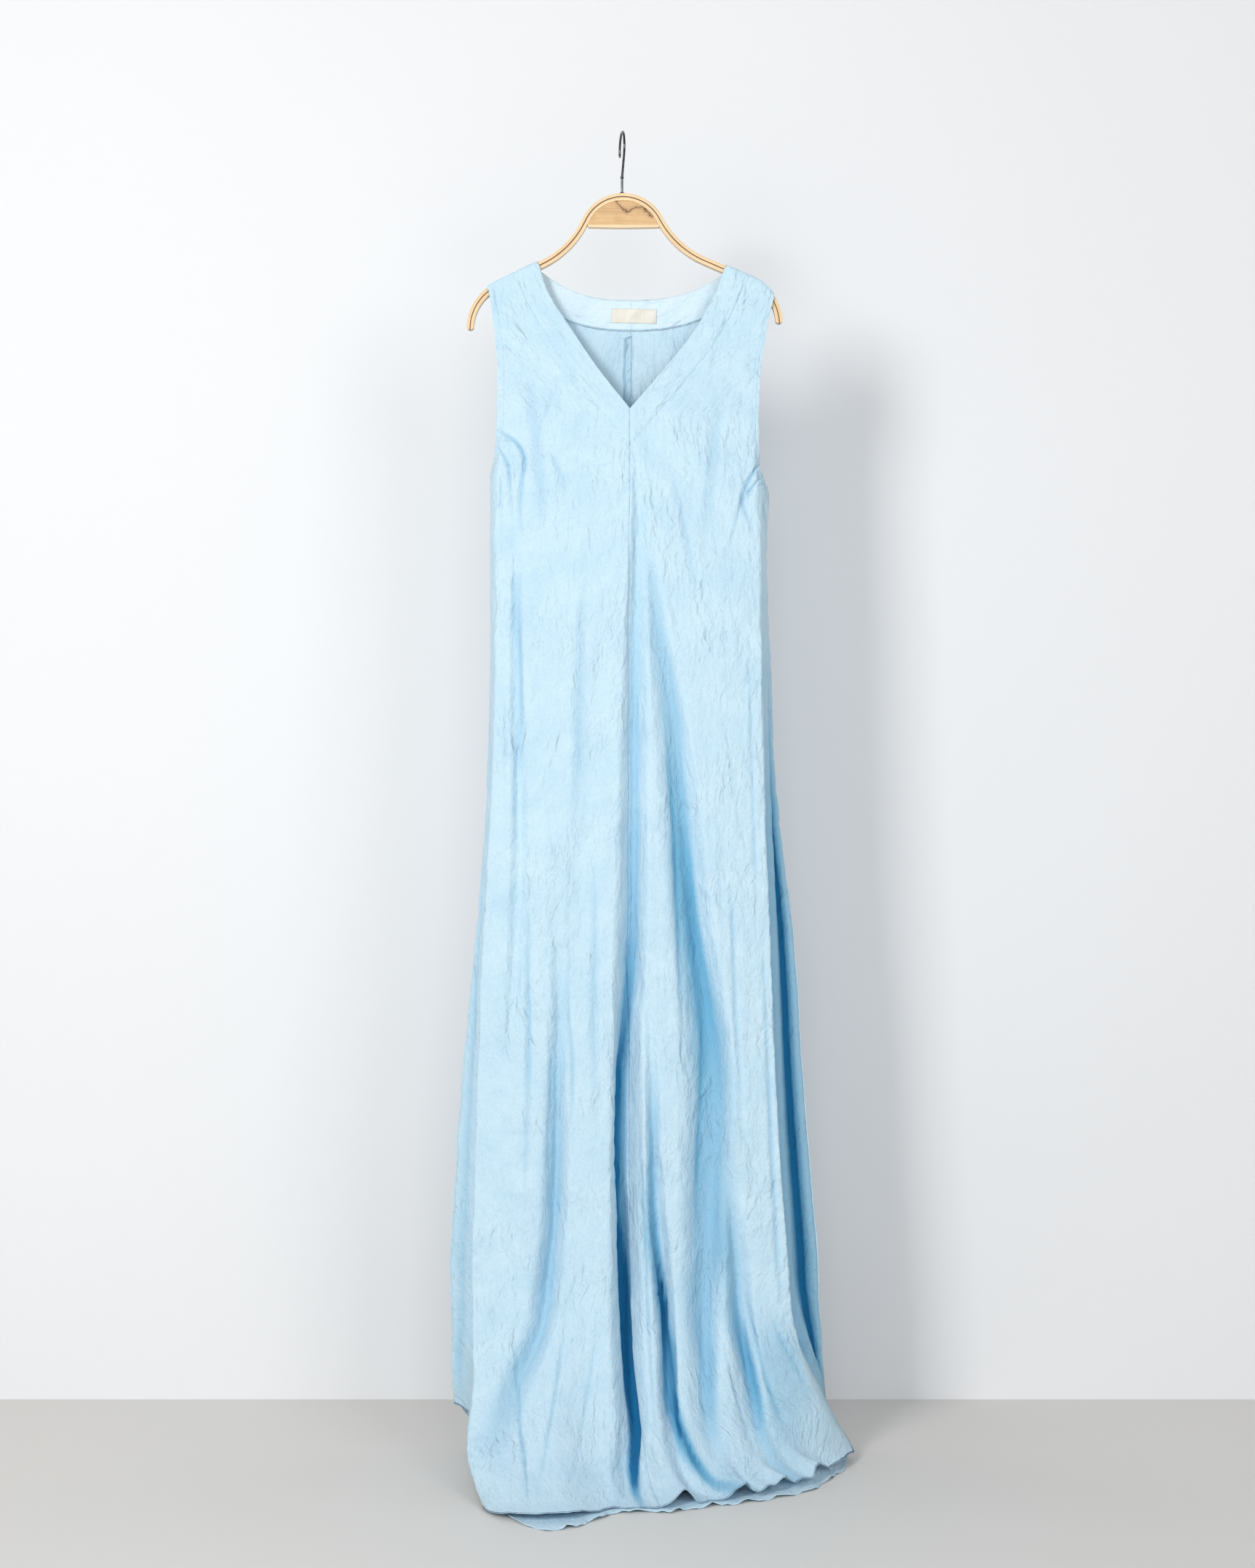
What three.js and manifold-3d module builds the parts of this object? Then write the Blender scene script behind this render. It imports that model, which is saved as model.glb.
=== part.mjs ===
// A long sleeveless linen sundress with a V neck, hung on a bent-ply wooden hanger with a steel hook.
// Millimetres, +Z up. The front of the dress faces -Y and +X is the wearer's left.
// The origin is the inside of the top of the hook, the point that it hangs from.
// Heights below the origin are given as drops: a drop of 351 is z = -351. Past the knee the skirt no
// longer hangs straight. It sweeps forward on to the surface under it, and there the drop is the length
// run down the cloth.
import * as THREE from "three";
import { mergeVertices } from "three/addons/utils/BufferGeometryUtils.js";
import Module from "manifold-3d";

const wasm = await Module();
wasm.setup();

// Cloth
const CLOTH = 1.2; // wall of a panel
const LINING = 0.8; // wall of a facing, band or label
const SEAM_GAP = 0.3; // between two pieces that meet
const FLOOR = -1673; // the surface that the hem lies on

// Hanger: a bow of two plies round a dark core, in arcs from its apex to its tips
const APEX = -81.2; // height of the bow's centre line at the top
const ARCH_RADIUS = 52;
const FLANK_ANGLE = (62 * Math.PI) / 180;
const FLANK_LENGTH = 5;
const NECK_RADIUS = 116;
const SHOULDER_ANGLE = (24.6 * Math.PI) / 180;
const SHOULDER_LENGTH = 63.6;
const TIP_RADIUS = 60;
const TIP_ANGLE = (85 * Math.PI) / 180;
const TIP_LENGTH = 5;
const BOW_HALF = 4.5; // half of the bow's height across its centre line
const CORE_HALF = 0.55; // half of the dark core's height
const BOW_DEPTH = 12; // front to back
const BOW_TILT = (1.2 * Math.PI) / 180; // the wearer's left end is a little higher
const INFILL_BOTTOM = -119.5;

// Hook
const WIRE_RADIUS = 1.5;
const HOOK_RADIUS = 20; // inside
const HOOK_TURN = (8 * Math.PI) / 180; // the hook's plane is turned this far from square to the bow
const HOOK_START = (215 * Math.PI) / 180; // where the leg joins the arc, in front and below
const HOOK_END = (-15 * Math.PI) / 180; // the free tip, behind
const STEM_TOP = -56;
const STEM_BOTTOM = -99;
const BALL_RADIUS = 2.3;
const BEND_LENGTH = 5; // of the stem below the ball, over which it begins to turn
const DRILL_LENGTH = 60;
const WASHER = { radius: 3.4, thickness: 1, collar: 0.6, height: 2.2 };

// Shoulders: the cloth goes over the bow from the front to the back
const STRAP_Y = 8.5; // from the bow's middle plane to the middle of the cloth beside it
const STRAP_REST = 0.6; // between the wood and the cloth on it
const ROLL_DROP = 6; // from the shoulder seam to where the cloth hangs straight
const ROLL_SQUARE = 0.35; // how squarely the cloth turns over the wood. 1 is a round turn

// Stations down a panel, one to each whole number of v: shoulder seam, foot of the roll over the bow,
// point of the neck, underarm, knee, hem
const ROLLED = 1, NECKED = 2, UNDERARM = 3, KNEE = 4, HEM = 5;
const KNEE_DROP = 1430;
const SWEEP = 330; // run of cloth from the knee to the hem in the middle of the front
const CHEST_DROP = 447; // of the underarm row at the middle
const EDGE_U = 0.84; // the share of a panel that lies in the front or the back. The rest is at the side
const BEFORE_EDGE = 14; // how far in from the edge the turn into the side begins
const TUCK_OUT = 0.7; // the back layer's tuck, as a share of the way from the edge out to the side seam
const TUCK_BACK = 0.55; // and of the way from the side seam to the back
const ARMHOLE_TUCK_BACK = 0.1; // the same beside the armhole, where the cloth is nearly flat
const STIFF_HANGING = 60; // how far past the knee the cloth keeps straight down, where its hem hangs
const STIFF_LYING = 110; // the same where its hem lies
const BACK_CLEAR = 0.1; // between the back layer and what it lies on
const FRONT_LIFT = 3; // lowest height of the front layer's middle, over the back layer

// The middle of the front and back seams, and the two layers' depths
const MIDDLE = [
  { drop: 150, frontX: 10, backX: 12, frontY: -8.5, backY: 8.5, crown: 0 },
  { drop: 200, frontX: 10, backX: 12, frontY: -9, backY: 10, crown: 0 },
  { drop: 351, frontX: 10, backX: 11, frontY: -23, backY: 24, crown: 5 },
  { drop: 447, frontX: 10, backX: 10, frontY: -33, backY: 32, crown: 10 },
  { drop: 600, frontX: 9, backX: 9, frontY: -42, backY: 38, crown: 14 },
  { drop: 900, frontX: 8, backX: 8, frontY: -48, backY: 45, crown: 14 },
  { drop: 1200, frontX: 8, backX: 8, frontY: -53, backY: 51, crown: 14 },
  { drop: 1430, frontX: 9, backX: 8, frontY: -56, backY: 54, crown: 12 },
];

// Each side of the dress. neck is the front neckline. outline has the fold at the edge of the front
// layer, the tuck behind it, and the outermost line: the armhole's edge down to the underarm, and then
// the side seam. frontHem and backHem are where the cloth ends, from the middle (u 0) to the side seam
// (u 1): lift is the height over the floor, lie how flat the last of it runs, and reach how far back
// from the hem that holds.
const RIGHT = {
  sign: -1,
  neckPoint: -107,
  tipPoint: -170,
  armRow: 355, // drop of the armhole's edge level with the point of the neck
  backArmRow: 300,
  underarm: 436,
  neck: [
    { drop: 160, x: -107 },
    { drop: 200, x: -94 },
    { drop: 250, x: -63.5 },
    { drop: 300, x: -30 },
    { drop: 351, x: 10 },
  ],
  outline: [
    { drop: 188, edgeX: -163, tuckX: -166.5, tuckY: -8.8, outX: -170, outY: -8.7 },
    { drop: 235, edgeX: -156, tuckX: -159.5, tuckY: -10.4, outX: -163, outY: -10.2 },
    { drop: 300, edgeX: -150, tuckX: -153.5, tuckY: -13.8, outX: -157, outY: -13.5 },
    { drop: 360, edgeX: -150, tuckX: -154, tuckY: -17.2, outX: -157.5, outY: -16 },
    { drop: 405, edgeX: -152, tuckX: -157, tuckY: -17, outX: -160.5, outY: -12 },
    { drop: 436, edgeX: -154, tuckX: -161, tuckY: -16, outX: -167, outY: 0 },
    { drop: 530, edgeX: -156, tuckX: -162, tuckY: -18, outX: -167, outY: 2 },
    { drop: 660, edgeX: -157, tuckX: -162, tuckY: -18, outX: -167, outY: 3 },
    { drop: 840, edgeX: -163, tuckX: -167, tuckY: -16, outX: -172, outY: 4 },
    { drop: 1030, edgeX: -175, tuckX: -176, tuckY: -12, outX: -187, outY: 6 },
    { drop: 1210, edgeX: -181, tuckX: -178, tuckY: -10, outX: -204, outY: 8 },
    { drop: 1430, edgeX: -187, tuckX: -181, tuckY: -8, outX: -218, outY: 10 },
  ],
  frontHem: [
    { u: 0, x: 46, y: -238, lift: 6, lie: 1, reach: 110 },
    { u: 0.22, x: -6, y: -240, lift: 6, lie: 1, reach: 110 },
    { u: 0.45, x: -72, y: -288, lift: 6, lie: 1, reach: 120 },
    { u: 0.65, x: -122, y: -282, lift: 6, lie: 1, reach: 110 },
    { u: EDGE_U, x: -162, y: -240, lift: 6, lie: 0.8, reach: 100 },
    { u: 0.92, x: -178, y: -34, lift: 48, lie: 0.2, reach: 60 },
    { u: 1, x: -213, y: 8, lift: 64, lie: 0, reach: 50 },
  ],
  backHem: [
    { u: 0, x: 44, y: -246, lift: 0.7, lie: 1, reach: 190 },
    { u: 0.22, x: -8, y: -252, lift: 0.7, lie: 1, reach: 190 },
    { u: 0.45, x: -74, y: -308, lift: 0.7, lie: 1, reach: 200 },
    { u: 0.65, x: -126, y: -270, lift: 0.7, lie: 1, reach: 150 },
    { u: EDGE_U, x: -168, y: -60, lift: 6, lie: 0.6, reach: 90 },
    { u: 0.92, x: -196, y: 34, lift: 44, lie: 0.1, reach: 60 },
    { u: 1, x: -213, y: 8, lift: 64, lie: 0, reach: 50 },
  ],
};

const LEFT = {
  sign: 1,
  neckPoint: 131.5,
  tipPoint: 192,
  armRow: 360,
  backArmRow: 305,
  underarm: 459,
  neck: [
    { drop: 165, x: 131.5 },
    { drop: 200, x: 119 },
    { drop: 250, x: 92 },
    { drop: 300, x: 53.5 },
    { drop: 351, x: 10 },
  ],
  outline: [
    { drop: 206, edgeX: 185, tuckX: 188.5, tuckY: -9.2, outX: 192, outY: -9 },
    { drop: 250, edgeX: 176, tuckX: 179.5, tuckY: -11, outX: 183, outY: -10.8 },
    { drop: 315, edgeX: 167, tuckX: 170.5, tuckY: -14.8, outX: 174, outY: -14.4 },
    { drop: 375, edgeX: 165, tuckX: 169, tuckY: -18, outX: 172.5, outY: -17 },
    { drop: 425, edgeX: 166, tuckX: 171, tuckY: -18, outX: 175, outY: -13 },
    { drop: 459, edgeX: 170, tuckX: 178, tuckY: -16, outX: 186, outY: 0 },
    { drop: 530, edgeX: 172, tuckX: 178, tuckY: -17, outX: 184, outY: 2 },
    { drop: 660, edgeX: 174, tuckX: 179, tuckY: -14, outX: 188, outY: 4 },
    { drop: 840, edgeX: 178, tuckX: 182, tuckY: -12, outX: 197, outY: 6 },
    { drop: 1030, edgeX: 186, tuckX: 184, tuckY: -4, outX: 219, outY: 12 },
    { drop: 1210, edgeX: 193, tuckX: 188, tuckY: 0, outX: 231, outY: 16 },
    { drop: 1430, edgeX: 208, tuckX: 200, tuckY: 4, outX: 249, outY: 20 },
  ],
  frontHem: [
    { u: 0, x: 46, y: -238, lift: 6, lie: 1, reach: 110 },
    { u: 0.2, x: 98, y: -214, lift: 6, lie: 1, reach: 100 },
    { u: 0.42, x: 172, y: -184, lift: 6, lie: 1, reach: 100 },
    { u: 0.6, x: 226, y: -140, lift: 6, lie: 0.9, reach: 90 },
    { u: 0.74, x: 264, y: -76, lift: 6, lie: 0.7, reach: 80 },
    { u: EDGE_U, x: 292, y: -12, lift: 6, lie: 0.5, reach: 70 },
    { u: 0.92, x: 262, y: 12, lift: 56, lie: 0.2, reach: 60 },
    { u: 1, x: 258, y: 30, lift: 80, lie: 0, reach: 50 },
  ],
  backHem: [
    { u: 0, x: 44, y: -246, lift: 0.7, lie: 1, reach: 190 },
    { u: 0.2, x: 99, y: -222, lift: 0.7, lie: 1, reach: 180 },
    { u: 0.42, x: 175, y: -191, lift: 0.7, lie: 1, reach: 160 },
    { u: 0.6, x: 230, y: -145, lift: 0.7, lie: 0.9, reach: 130 },
    { u: 0.74, x: 268, y: -72, lift: 0.7, lie: 0.8, reach: 100 },
    { u: EDGE_U, x: 284, y: 14, lift: 6, lie: 0.5, reach: 80 },
    { u: 0.92, x: 256, y: 52, lift: 52, lie: 0.1, reach: 60 },
    { u: 1, x: 258, y: 30, lift: 80, lie: 0, reach: 50 },
  ],
};

// Folds. Each is a trough that runs down a layer. across is its place, from -1 at the layer's right
// edge through 0 at the middle seam to 1 at its left edge. before and after are its widths to either
// side of its lowest line, in mm, and depth is how far it goes in.
const FRONT_FOLDS = {
  centre: [
    { drop: 405, across: 0.05, before: 5, after: 9, depth: 0 },
    { drop: 480, across: 0.067, before: 11, after: 15, depth: 6 },
    { drop: 616, across: 0.045, before: 15, after: 19, depth: 13 },
    { drop: 767, across: 0.042, before: 19, after: 21, depth: 18 },
    { drop: 990, across: 0.027, before: 22, after: 22, depth: 24 },
    { drop: 1190, across: -0.013, before: 23, after: 24, depth: 29 },
    { drop: 1430, across: -0.018, before: 23, after: 24, depth: 31 },
    { drop: 1590, across: -0.035, before: 25, after: 25, depth: 25 },
    { drop: 1670, across: -0.11, before: 25, after: 25, depth: 15 },
    { drop: 1760, across: -0.155, before: 22, after: 26, depth: 6 },
  ],
  diagonal: [
    { drop: 500, across: 0.13, before: 8, after: 8, depth: 0 },
    { drop: 616, across: 0.22, before: 20, after: 16, depth: 7 },
    { drop: 767, across: 0.374, before: 34, after: 19, depth: 13 },
    { drop: 990, across: 0.488, before: 40, after: 24, depth: 19 },
    { drop: 1190, across: 0.588, before: 50, after: 28, depth: 23 },
    { drop: 1340, across: 0.52, before: 40, after: 26, depth: 21 },
    { drop: 1519, across: 0.458, before: 28, after: 22, depth: 17 },
    { drop: 1590, across: 0.403, before: 24, after: 20, depth: 12 },
    { drop: 1650, across: 0.379, before: 20, after: 16, depth: 6 },
    { drop: 1740, across: 0.37, before: 14, after: 12, depth: 0 },
  ],
  branch: [
    { drop: 1260, across: 0.64, before: 12, after: 12, depth: 0 },
    { drop: 1340, across: 0.66, before: 17, after: 16, depth: 7 },
    { drop: 1430, across: 0.69, before: 19, after: 18, depth: 14 },
    { drop: 1519, across: 0.7, before: 22, after: 19, depth: 18 },
    { drop: 1590, across: 0.685, before: 24, after: 20, depth: 14 },
    { drop: 1650, across: 0.64, before: 20, after: 18, depth: 7 },
    { drop: 1720, across: 0.62, before: 16, after: 14, depth: 0 },
  ],
  narrow: [
    { drop: 1050, across: 0.12, before: 6, after: 6, depth: 0 },
    { drop: 1190, across: 0.166, before: 13, after: 10, depth: 7 },
    { drop: 1338, across: 0.187, before: 15, after: 11, depth: 13 },
    { drop: 1430, across: 0.214, before: 16, after: 12, depth: 17 },
    { drop: 1519, across: 0.224, before: 17, after: 12, depth: 18 },
    { drop: 1590, across: 0.2, before: 17, after: 13, depth: 16 },
    { drop: 1650, across: 0.195, before: 17, after: 13, depth: 11 },
    { drop: 1760, across: 0.24, before: 16, after: 13, depth: 4 },
  ],
  thigh: [
    { drop: 940, across: -0.5, before: 7, after: 7, depth: 0 },
    { drop: 1142, across: -0.456, before: 17, after: 14, depth: 9 },
    { drop: 1338, across: -0.464, before: 22, after: 16, depth: 17 },
    { drop: 1430, across: -0.498, before: 24, after: 18, depth: 18 },
    { drop: 1484, across: -0.539, before: 27, after: 20, depth: 16 },
    { drop: 1572, across: -0.745, before: 28, after: 24, depth: 8 },
    { drop: 1640, across: -0.84, before: 16, after: 18, depth: 0 },
  ],
  flank: [
    { drop: 470, across: -0.86, before: 7, after: 9, depth: 0 },
    { drop: 616, across: -0.86, before: 9, after: 11, depth: 5 },
    { drop: 843, across: -0.8, before: 12, after: 14, depth: 8 },
    { drop: 990, across: -0.765, before: 14, after: 15, depth: 8 },
    { drop: 1180, across: -0.8, before: 10, after: 12, depth: 0 },
  ],
  soft: [
    { drop: 560, across: -0.15, before: 14, after: 12, depth: 0 },
    { drop: 767, across: -0.26, before: 24, after: 18, depth: 4 },
    { drop: 990, across: -0.33, before: 28, after: 22, depth: 5 },
    { drop: 1180, across: -0.38, before: 22, after: 20, depth: 0 },
  ],
};

const BACK_FOLDS = {
  middle: [
    { drop: 640, across: 0.16, before: 12, after: 12, depth: 0 },
    { drop: 900, across: 0.17, before: 26, after: 24, depth: 10 },
    { drop: 1250, across: 0.2, before: 32, after: 30, depth: 22 },
    { drop: 1430, across: 0.2, before: 34, after: 32, depth: 24 },
    { drop: 1600, across: 0.2, before: 32, after: 30, depth: 9 },
    { drop: 1680, across: 0.2, before: 30, after: 28, depth: 0 },
  ],
  inner: [
    { drop: 700, across: -0.22, before: 12, after: 12, depth: 0 },
    { drop: 980, across: -0.25, before: 26, after: 26, depth: 9 },
    { drop: 1250, across: -0.29, before: 32, after: 30, depth: 19 },
    { drop: 1430, across: -0.3, before: 34, after: 32, depth: 21 },
    { drop: 1600, across: -0.3, before: 32, after: 30, depth: 8 },
    { drop: 1680, across: -0.3, before: 30, after: 28, depth: 0 },
  ],
  outerLeft: [
    { drop: 560, across: 0.7, before: 12, after: 12, depth: 0 },
    { drop: 900, across: 0.64, before: 24, after: 22, depth: 9 },
    { drop: 1250, across: 0.62, before: 32, after: 30, depth: 17 },
    { drop: 1430, across: 0.62, before: 34, after: 32, depth: 18 },
    { drop: 1660, across: 0.6, before: 30, after: 28, depth: 0 },
  ],
  outerRight: [
    { drop: 620, across: -0.74, before: 12, after: 12, depth: 0 },
    { drop: 960, across: -0.7, before: 22, after: 22, depth: 8 },
    { drop: 1250, across: -0.68, before: 28, after: 28, depth: 15 },
    { drop: 1430, across: -0.68, before: 30, after: 30, depth: 16 },
    { drop: 1660, across: -0.66, before: 28, after: 28, depth: 0 },
  ],
};

// Ruffle waves along the front hem on the wearer's left
const RUFFLE_FROM = 0.3; // across
const RUFFLE_FADE = 0.15; // across, over which they begin
const RUFFLE_END = 0.1; // across, over which they end at the edge
const RUFFLE_WAVES = 6;
const RUFFLE_HEIGHT = 4.5;
const RUFFLE_HOLD = 4; // how near the hem they keep. More is nearer
const HEM_RISE = 6; // the crests between folds stand this far off the layer below, at the hem
const RISE_HOLD = 3;
const RISE_END = 0.2; // across, over which the rise ends at the edges

// Neck and armholes
const NECK_POINT_DROP = 351;
const BACK_NECK_DROP = 209;
const BACK_NECK_POWER = 2.6; // how square the back neckline is
const FACING_WIDTH = 32;
const BACK_FACING_WIDTH = 39;
const BACK_FACING_SPAN = 0.985; // how much of the way to the neck points the back facing goes
const MITRE = 1.32; // how much longer than wide the front facings are where they meet at the point
const FACING_TOP = 7; // the facings stop this far below the shoulder seam, beside the bow
const LABEL = { x: 15, drop: 229, width: 58, height: 18 };

const lerp = (a, b, t) => a + (b - a) * t;
const clamp = (x, low, high) => Math.min(high, Math.max(low, x));

// A column of a table at a place along its key, on a curve that goes through each row and never
// passes beyond two neighbours.
function read(table, column, at, key = "drop") {
  const last = table.length - 1;
  if (at <= table[0][key]) return table[0][column];
  if (at >= table[last][key]) return table[last][column];
  let i = 0;
  while (at > table[i + 1][key]) i++;
  const step = (k) => table[k + 1][key] - table[k][key];
  const rise = (k) => (table[k + 1][column] - table[k][column]) / step(k);
  const slope = (k) => {
    if (k === 0) return rise(0);
    if (k === last) return rise(last - 1);
    const a = rise(k - 1), b = rise(k);
    return a * b <= 0 ? 0 : (2 * a * b) / (a + b);
  };
  const h = step(i), t = (at - table[i][key]) / h;
  const t2 = t * t, t3 = t2 * t;
  return (
    (2 * t3 - 3 * t2 + 1) * table[i][column] + (t3 - 2 * t2 + t) * h * slope(i) +
    (3 * t2 - 2 * t3) * table[i + 1][column] + (t3 - t2) * h * slope(i + 1)
  );
}

// The bow's outline, offset up or out from its centre line: points [x, z] from the wearer's right tip
// to the left one.
function bowLine(offset, steps = { arch: 6, neck: 4, tip: 4 }) {
  const half = [];
  let x = 0, z = APEX, turned = 0;
  const add = () => half.push([x + offset * Math.sin(turned), z + offset * Math.cos(turned)]);
  const arc = (radius, to, count) => {
    const from = turned;
    for (let i = 1; i <= count; i++) {
      const next = lerp(from, to, i / count);
      x += radius * Math.abs(Math.sin(next) - Math.sin(turned));
      z -= radius * Math.abs(Math.cos(next) - Math.cos(turned));
      turned = next;
      add();
    }
  };
  const straight = (length) => {
    x += length * Math.cos(turned);
    z -= length * Math.sin(turned);
    add();
  };
  add();
  arc(ARCH_RADIUS, FLANK_ANGLE, steps.arch);
  straight(FLANK_LENGTH);
  arc(NECK_RADIUS, SHOULDER_ANGLE, steps.neck);
  straight(SHOULDER_LENGTH);
  arc(TIP_RADIUS, TIP_ANGLE, steps.tip);
  straight(TIP_LENGTH);
  const whole = [...half.slice(1).reverse().map(([px, pz]) => [-px, pz]), ...half];
  const c = Math.cos(BOW_TILT), s = Math.sin(BOW_TILT);
  return whole.map(([px, pz]) => [px * c - (pz - APEX) * s, APEX + px * s + (pz - APEX) * c]);
}

// The drop of the cloth's middle where it lies on top of the bow.
const strapLine = bowLine(BOW_HALF + STRAP_REST + CLOTH / 2, { arch: 10, neck: 8, tip: 12 });
function strapDrop(x) {
  let i = 0;
  while (i < strapLine.length - 2 && strapLine[i + 1][0] < x) i++;
  const [a, b] = [strapLine[i], strapLine[i + 1]];
  return -lerp(a[1], b[1], (x - a[0]) / (b[0] - a[0]));
}

// Half of a layer's width, between its two edges.
const halfWidth = (drop) => (read(LEFT.outline, "edgeX", drop) - read(RIGHT.outline, "edgeX", drop)) / 2;

// The sum of a layer's folds at a place, as a depth in mm.
function foldDepth(folds, across, drop) {
  const width = halfWidth(Math.min(drop, KNEE_DROP));
  let sum = 0;
  for (const fold of Object.values(folds)) {
    if (drop <= fold[0].drop || drop >= fold[fold.length - 1].drop + 60) continue;
    const off = (across - read(fold, "across", drop)) * width;
    const reach = off < 0 ? read(fold, "before", drop) : read(fold, "after", drop);
    if (Math.abs(off) < reach) {
      sum += (read(fold, "depth", drop) * (1 + Math.cos((Math.PI * off) / reach))) / 2;
    }
  }
  return sum;
}

// How far the folds press a layer in, with the ruffles and the rise off the floor near the hem.
function pressed(back, across, drop) {
  if (back) return foldDepth(BACK_FOLDS, across, drop);
  const near = clamp((drop - KNEE_DROP) / SWEEP, 0, 1);
  const begun = clamp((across - RUFFLE_FROM) / RUFFLE_FADE, 0, 1);
  const left = clamp((1 - across) / RUFFLE_END, 0, 1);
  const wave = Math.sin(2 * Math.PI * RUFFLE_WAVES * (across - RUFFLE_FROM));
  const ruffle = RUFFLE_HEIGHT * begun * left * near ** RUFFLE_HOLD * (1 + wave);
  const rise = HEM_RISE * near ** RISE_HOLD;
  const edges = clamp((1 - Math.abs(across)) / RISE_END, 0, 1);
  return foldDepth(FRONT_FOLDS, across, drop) - (rise + ruffle) * edges;
}

// The depth of a layer's middle surface, folds left out, at a place across it.
function layerY(back, across, drop) {
  const crown = read(MIDDLE, "crown", drop) * across * across;
  return back ? read(MIDDLE, "backY", drop) - crown : read(MIDDLE, "frontY", drop) + crown;
}

const middleX = (back, drop) => read(MIDDLE, back ? "backX" : "frontX", drop);

// Where x lies across a layer: 0 at its middle seam, -1 and 1 at its edges.
function acrossAt(side, back, x, drop) {
  const middle = middleX(back, drop);
  return (side.sign * (x - middle)) / (read(side.outline, "edgeX", drop) - middle);
}

// The points that the side of a panel goes through: the layer just before its edge, the edge, the
// tuck, the outermost line, and the first point of the other layer.
function sideKnots(side, back, drop) {
  const column = (name) => read(side.outline, name, drop);
  const open = drop < side.underarm;
  const edgeY = layerY(back, 1, drop);
  const beforeX = column("edgeX") - side.sign * BEFORE_EDGE;
  const before = [beforeX, layerY(back, acrossAt(side, back, beforeX, drop), drop)];
  const out = [column("outX"), open && back ? -column("outY") : column("outY")];
  const frontTuck = [column("tuckX"), column("tuckY")];
  const backTuck = [
    lerp(column("edgeX"), column("outX"), TUCK_OUT),
    lerp(Math.abs(out[1]), layerY(true, 1, drop), open ? ARMHOLE_TUCK_BACK : TUCK_BACK),
  ];
  const tuck = back ? backTuck : frontTuck;
  const past = open ? [2 * out[0] - tuck[0], 2 * out[1] - tuck[1]] : back ? frontTuck : backTuck;
  return [before, [column("edgeX"), edgeY], tuck, out, past];
}

// The side of a panel, past its edge: a curve through the edge, the tuck and the outermost line.
function throughSide(knots, u) {
  const w = (2 * (u - EDGE_U)) / (1 - EDGE_U);
  const i = Math.min(1, Math.floor(w));
  const t = w - i, t2 = t * t, t3 = t2 * t;
  const [a, b, c, d] = knots.slice(i, i + 4);
  return b.map((_, k) => 0.5 * (2 * b[k] + (c[k] - a[k]) * t +
    (2 * a[k] - 5 * b[k] + 4 * c[k] - d[k]) * t2 + (3 * b[k] - a[k] - 3 * c[k] + d[k]) * t3));
}

// A point of a level section, folds left out: {x, y, across}. u runs from the neckline or the middle
// seam to the armhole or the side seam.
function section(side, back, u, drop, innerX) {
  const edgeX = read(side.outline, "edgeX", drop);
  if (u <= EDGE_U) {
    const x = lerp(innerX, edgeX, u / EDGE_U);
    const across = acrossAt(side, back, x, drop);
    return { x, y: layerY(back, across, drop), across };
  }
  const [x, y] = throughSide(sideKnots(side, back, drop), u);
  return { x, y, across: side.sign };
}

// The drop of the back neckline at x.
function backNeckline(side, x, middle) {
  const share = Math.max(0, (x - middle) / (side.neckPoint - middle));
  const end = strapDrop(side.neckPoint) + ROLL_DROP;
  return BACK_NECK_DROP - (BACK_NECK_DROP - end) * share ** BACK_NECK_POWER;
}

// The drop and the innermost x of a panel at station v.
function row(side, back, u, v) {
  const shoulderX = lerp(side.neckPoint, side.tipPoint, u);
  const rolled = strapDrop(shoulderX) + ROLL_DROP;
  const neckDrop = strapDrop(side.neckPoint) + ROLL_DROP;
  const tipDrop = strapDrop(side.tipPoint) + ROLL_DROP;
  if (v <= NECKED) {
    const t = v - ROLLED;
    const armDrop = lerp(tipDrop, back ? side.backArmRow : side.armRow, t);
    let innerX, innerDrop;
    if (back) {
      const middle = middleX(true, BACK_NECK_DROP);
      innerX = lerp(side.neckPoint, middle, Math.sin((t * Math.PI) / 2));
      innerDrop = backNeckline(side, innerX, middle);
    } else {
      innerDrop = lerp(neckDrop, NECK_POINT_DROP, t);
      innerX = read(side.neck, "x", innerDrop);
    }
    const bowed = (1 - t) * (rolled - lerp(neckDrop, tipDrop, u));
    return { drop: lerp(innerDrop, armDrop, u) + bowed, innerX };
  }
  const top = lerp(back ? BACK_NECK_DROP : NECK_POINT_DROP, back ? side.backArmRow : side.armRow, u);
  const chest = lerp(CHEST_DROP, side.underarm, u);
  const drop = v <= UNDERARM ? lerp(top, chest, v - NECKED) : lerp(chest, KNEE_DROP, v - UNDERARM);
  return { drop, innerX: middleX(back, drop) };
}

// Where a panel's hem is at u: [x, y, height over the floor].
function hemAt(side, back, u) {
  const table = back ? side.backHem : side.frontHem;
  const other = back ? side.frontHem : side.backHem;
  const spot = (r) => [r.x, r.y, r.lift];
  const along = (at) => ["x", "y", "lift"].map((name) => read(table, name, at, "u"));
  if (u <= EDGE_U) return along(u);
  const knots = [along(EDGE_U - 0.08), ...table.slice(-3).map(spot), spot(other[other.length - 2])];
  return throughSide(knots, u);
}

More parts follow.
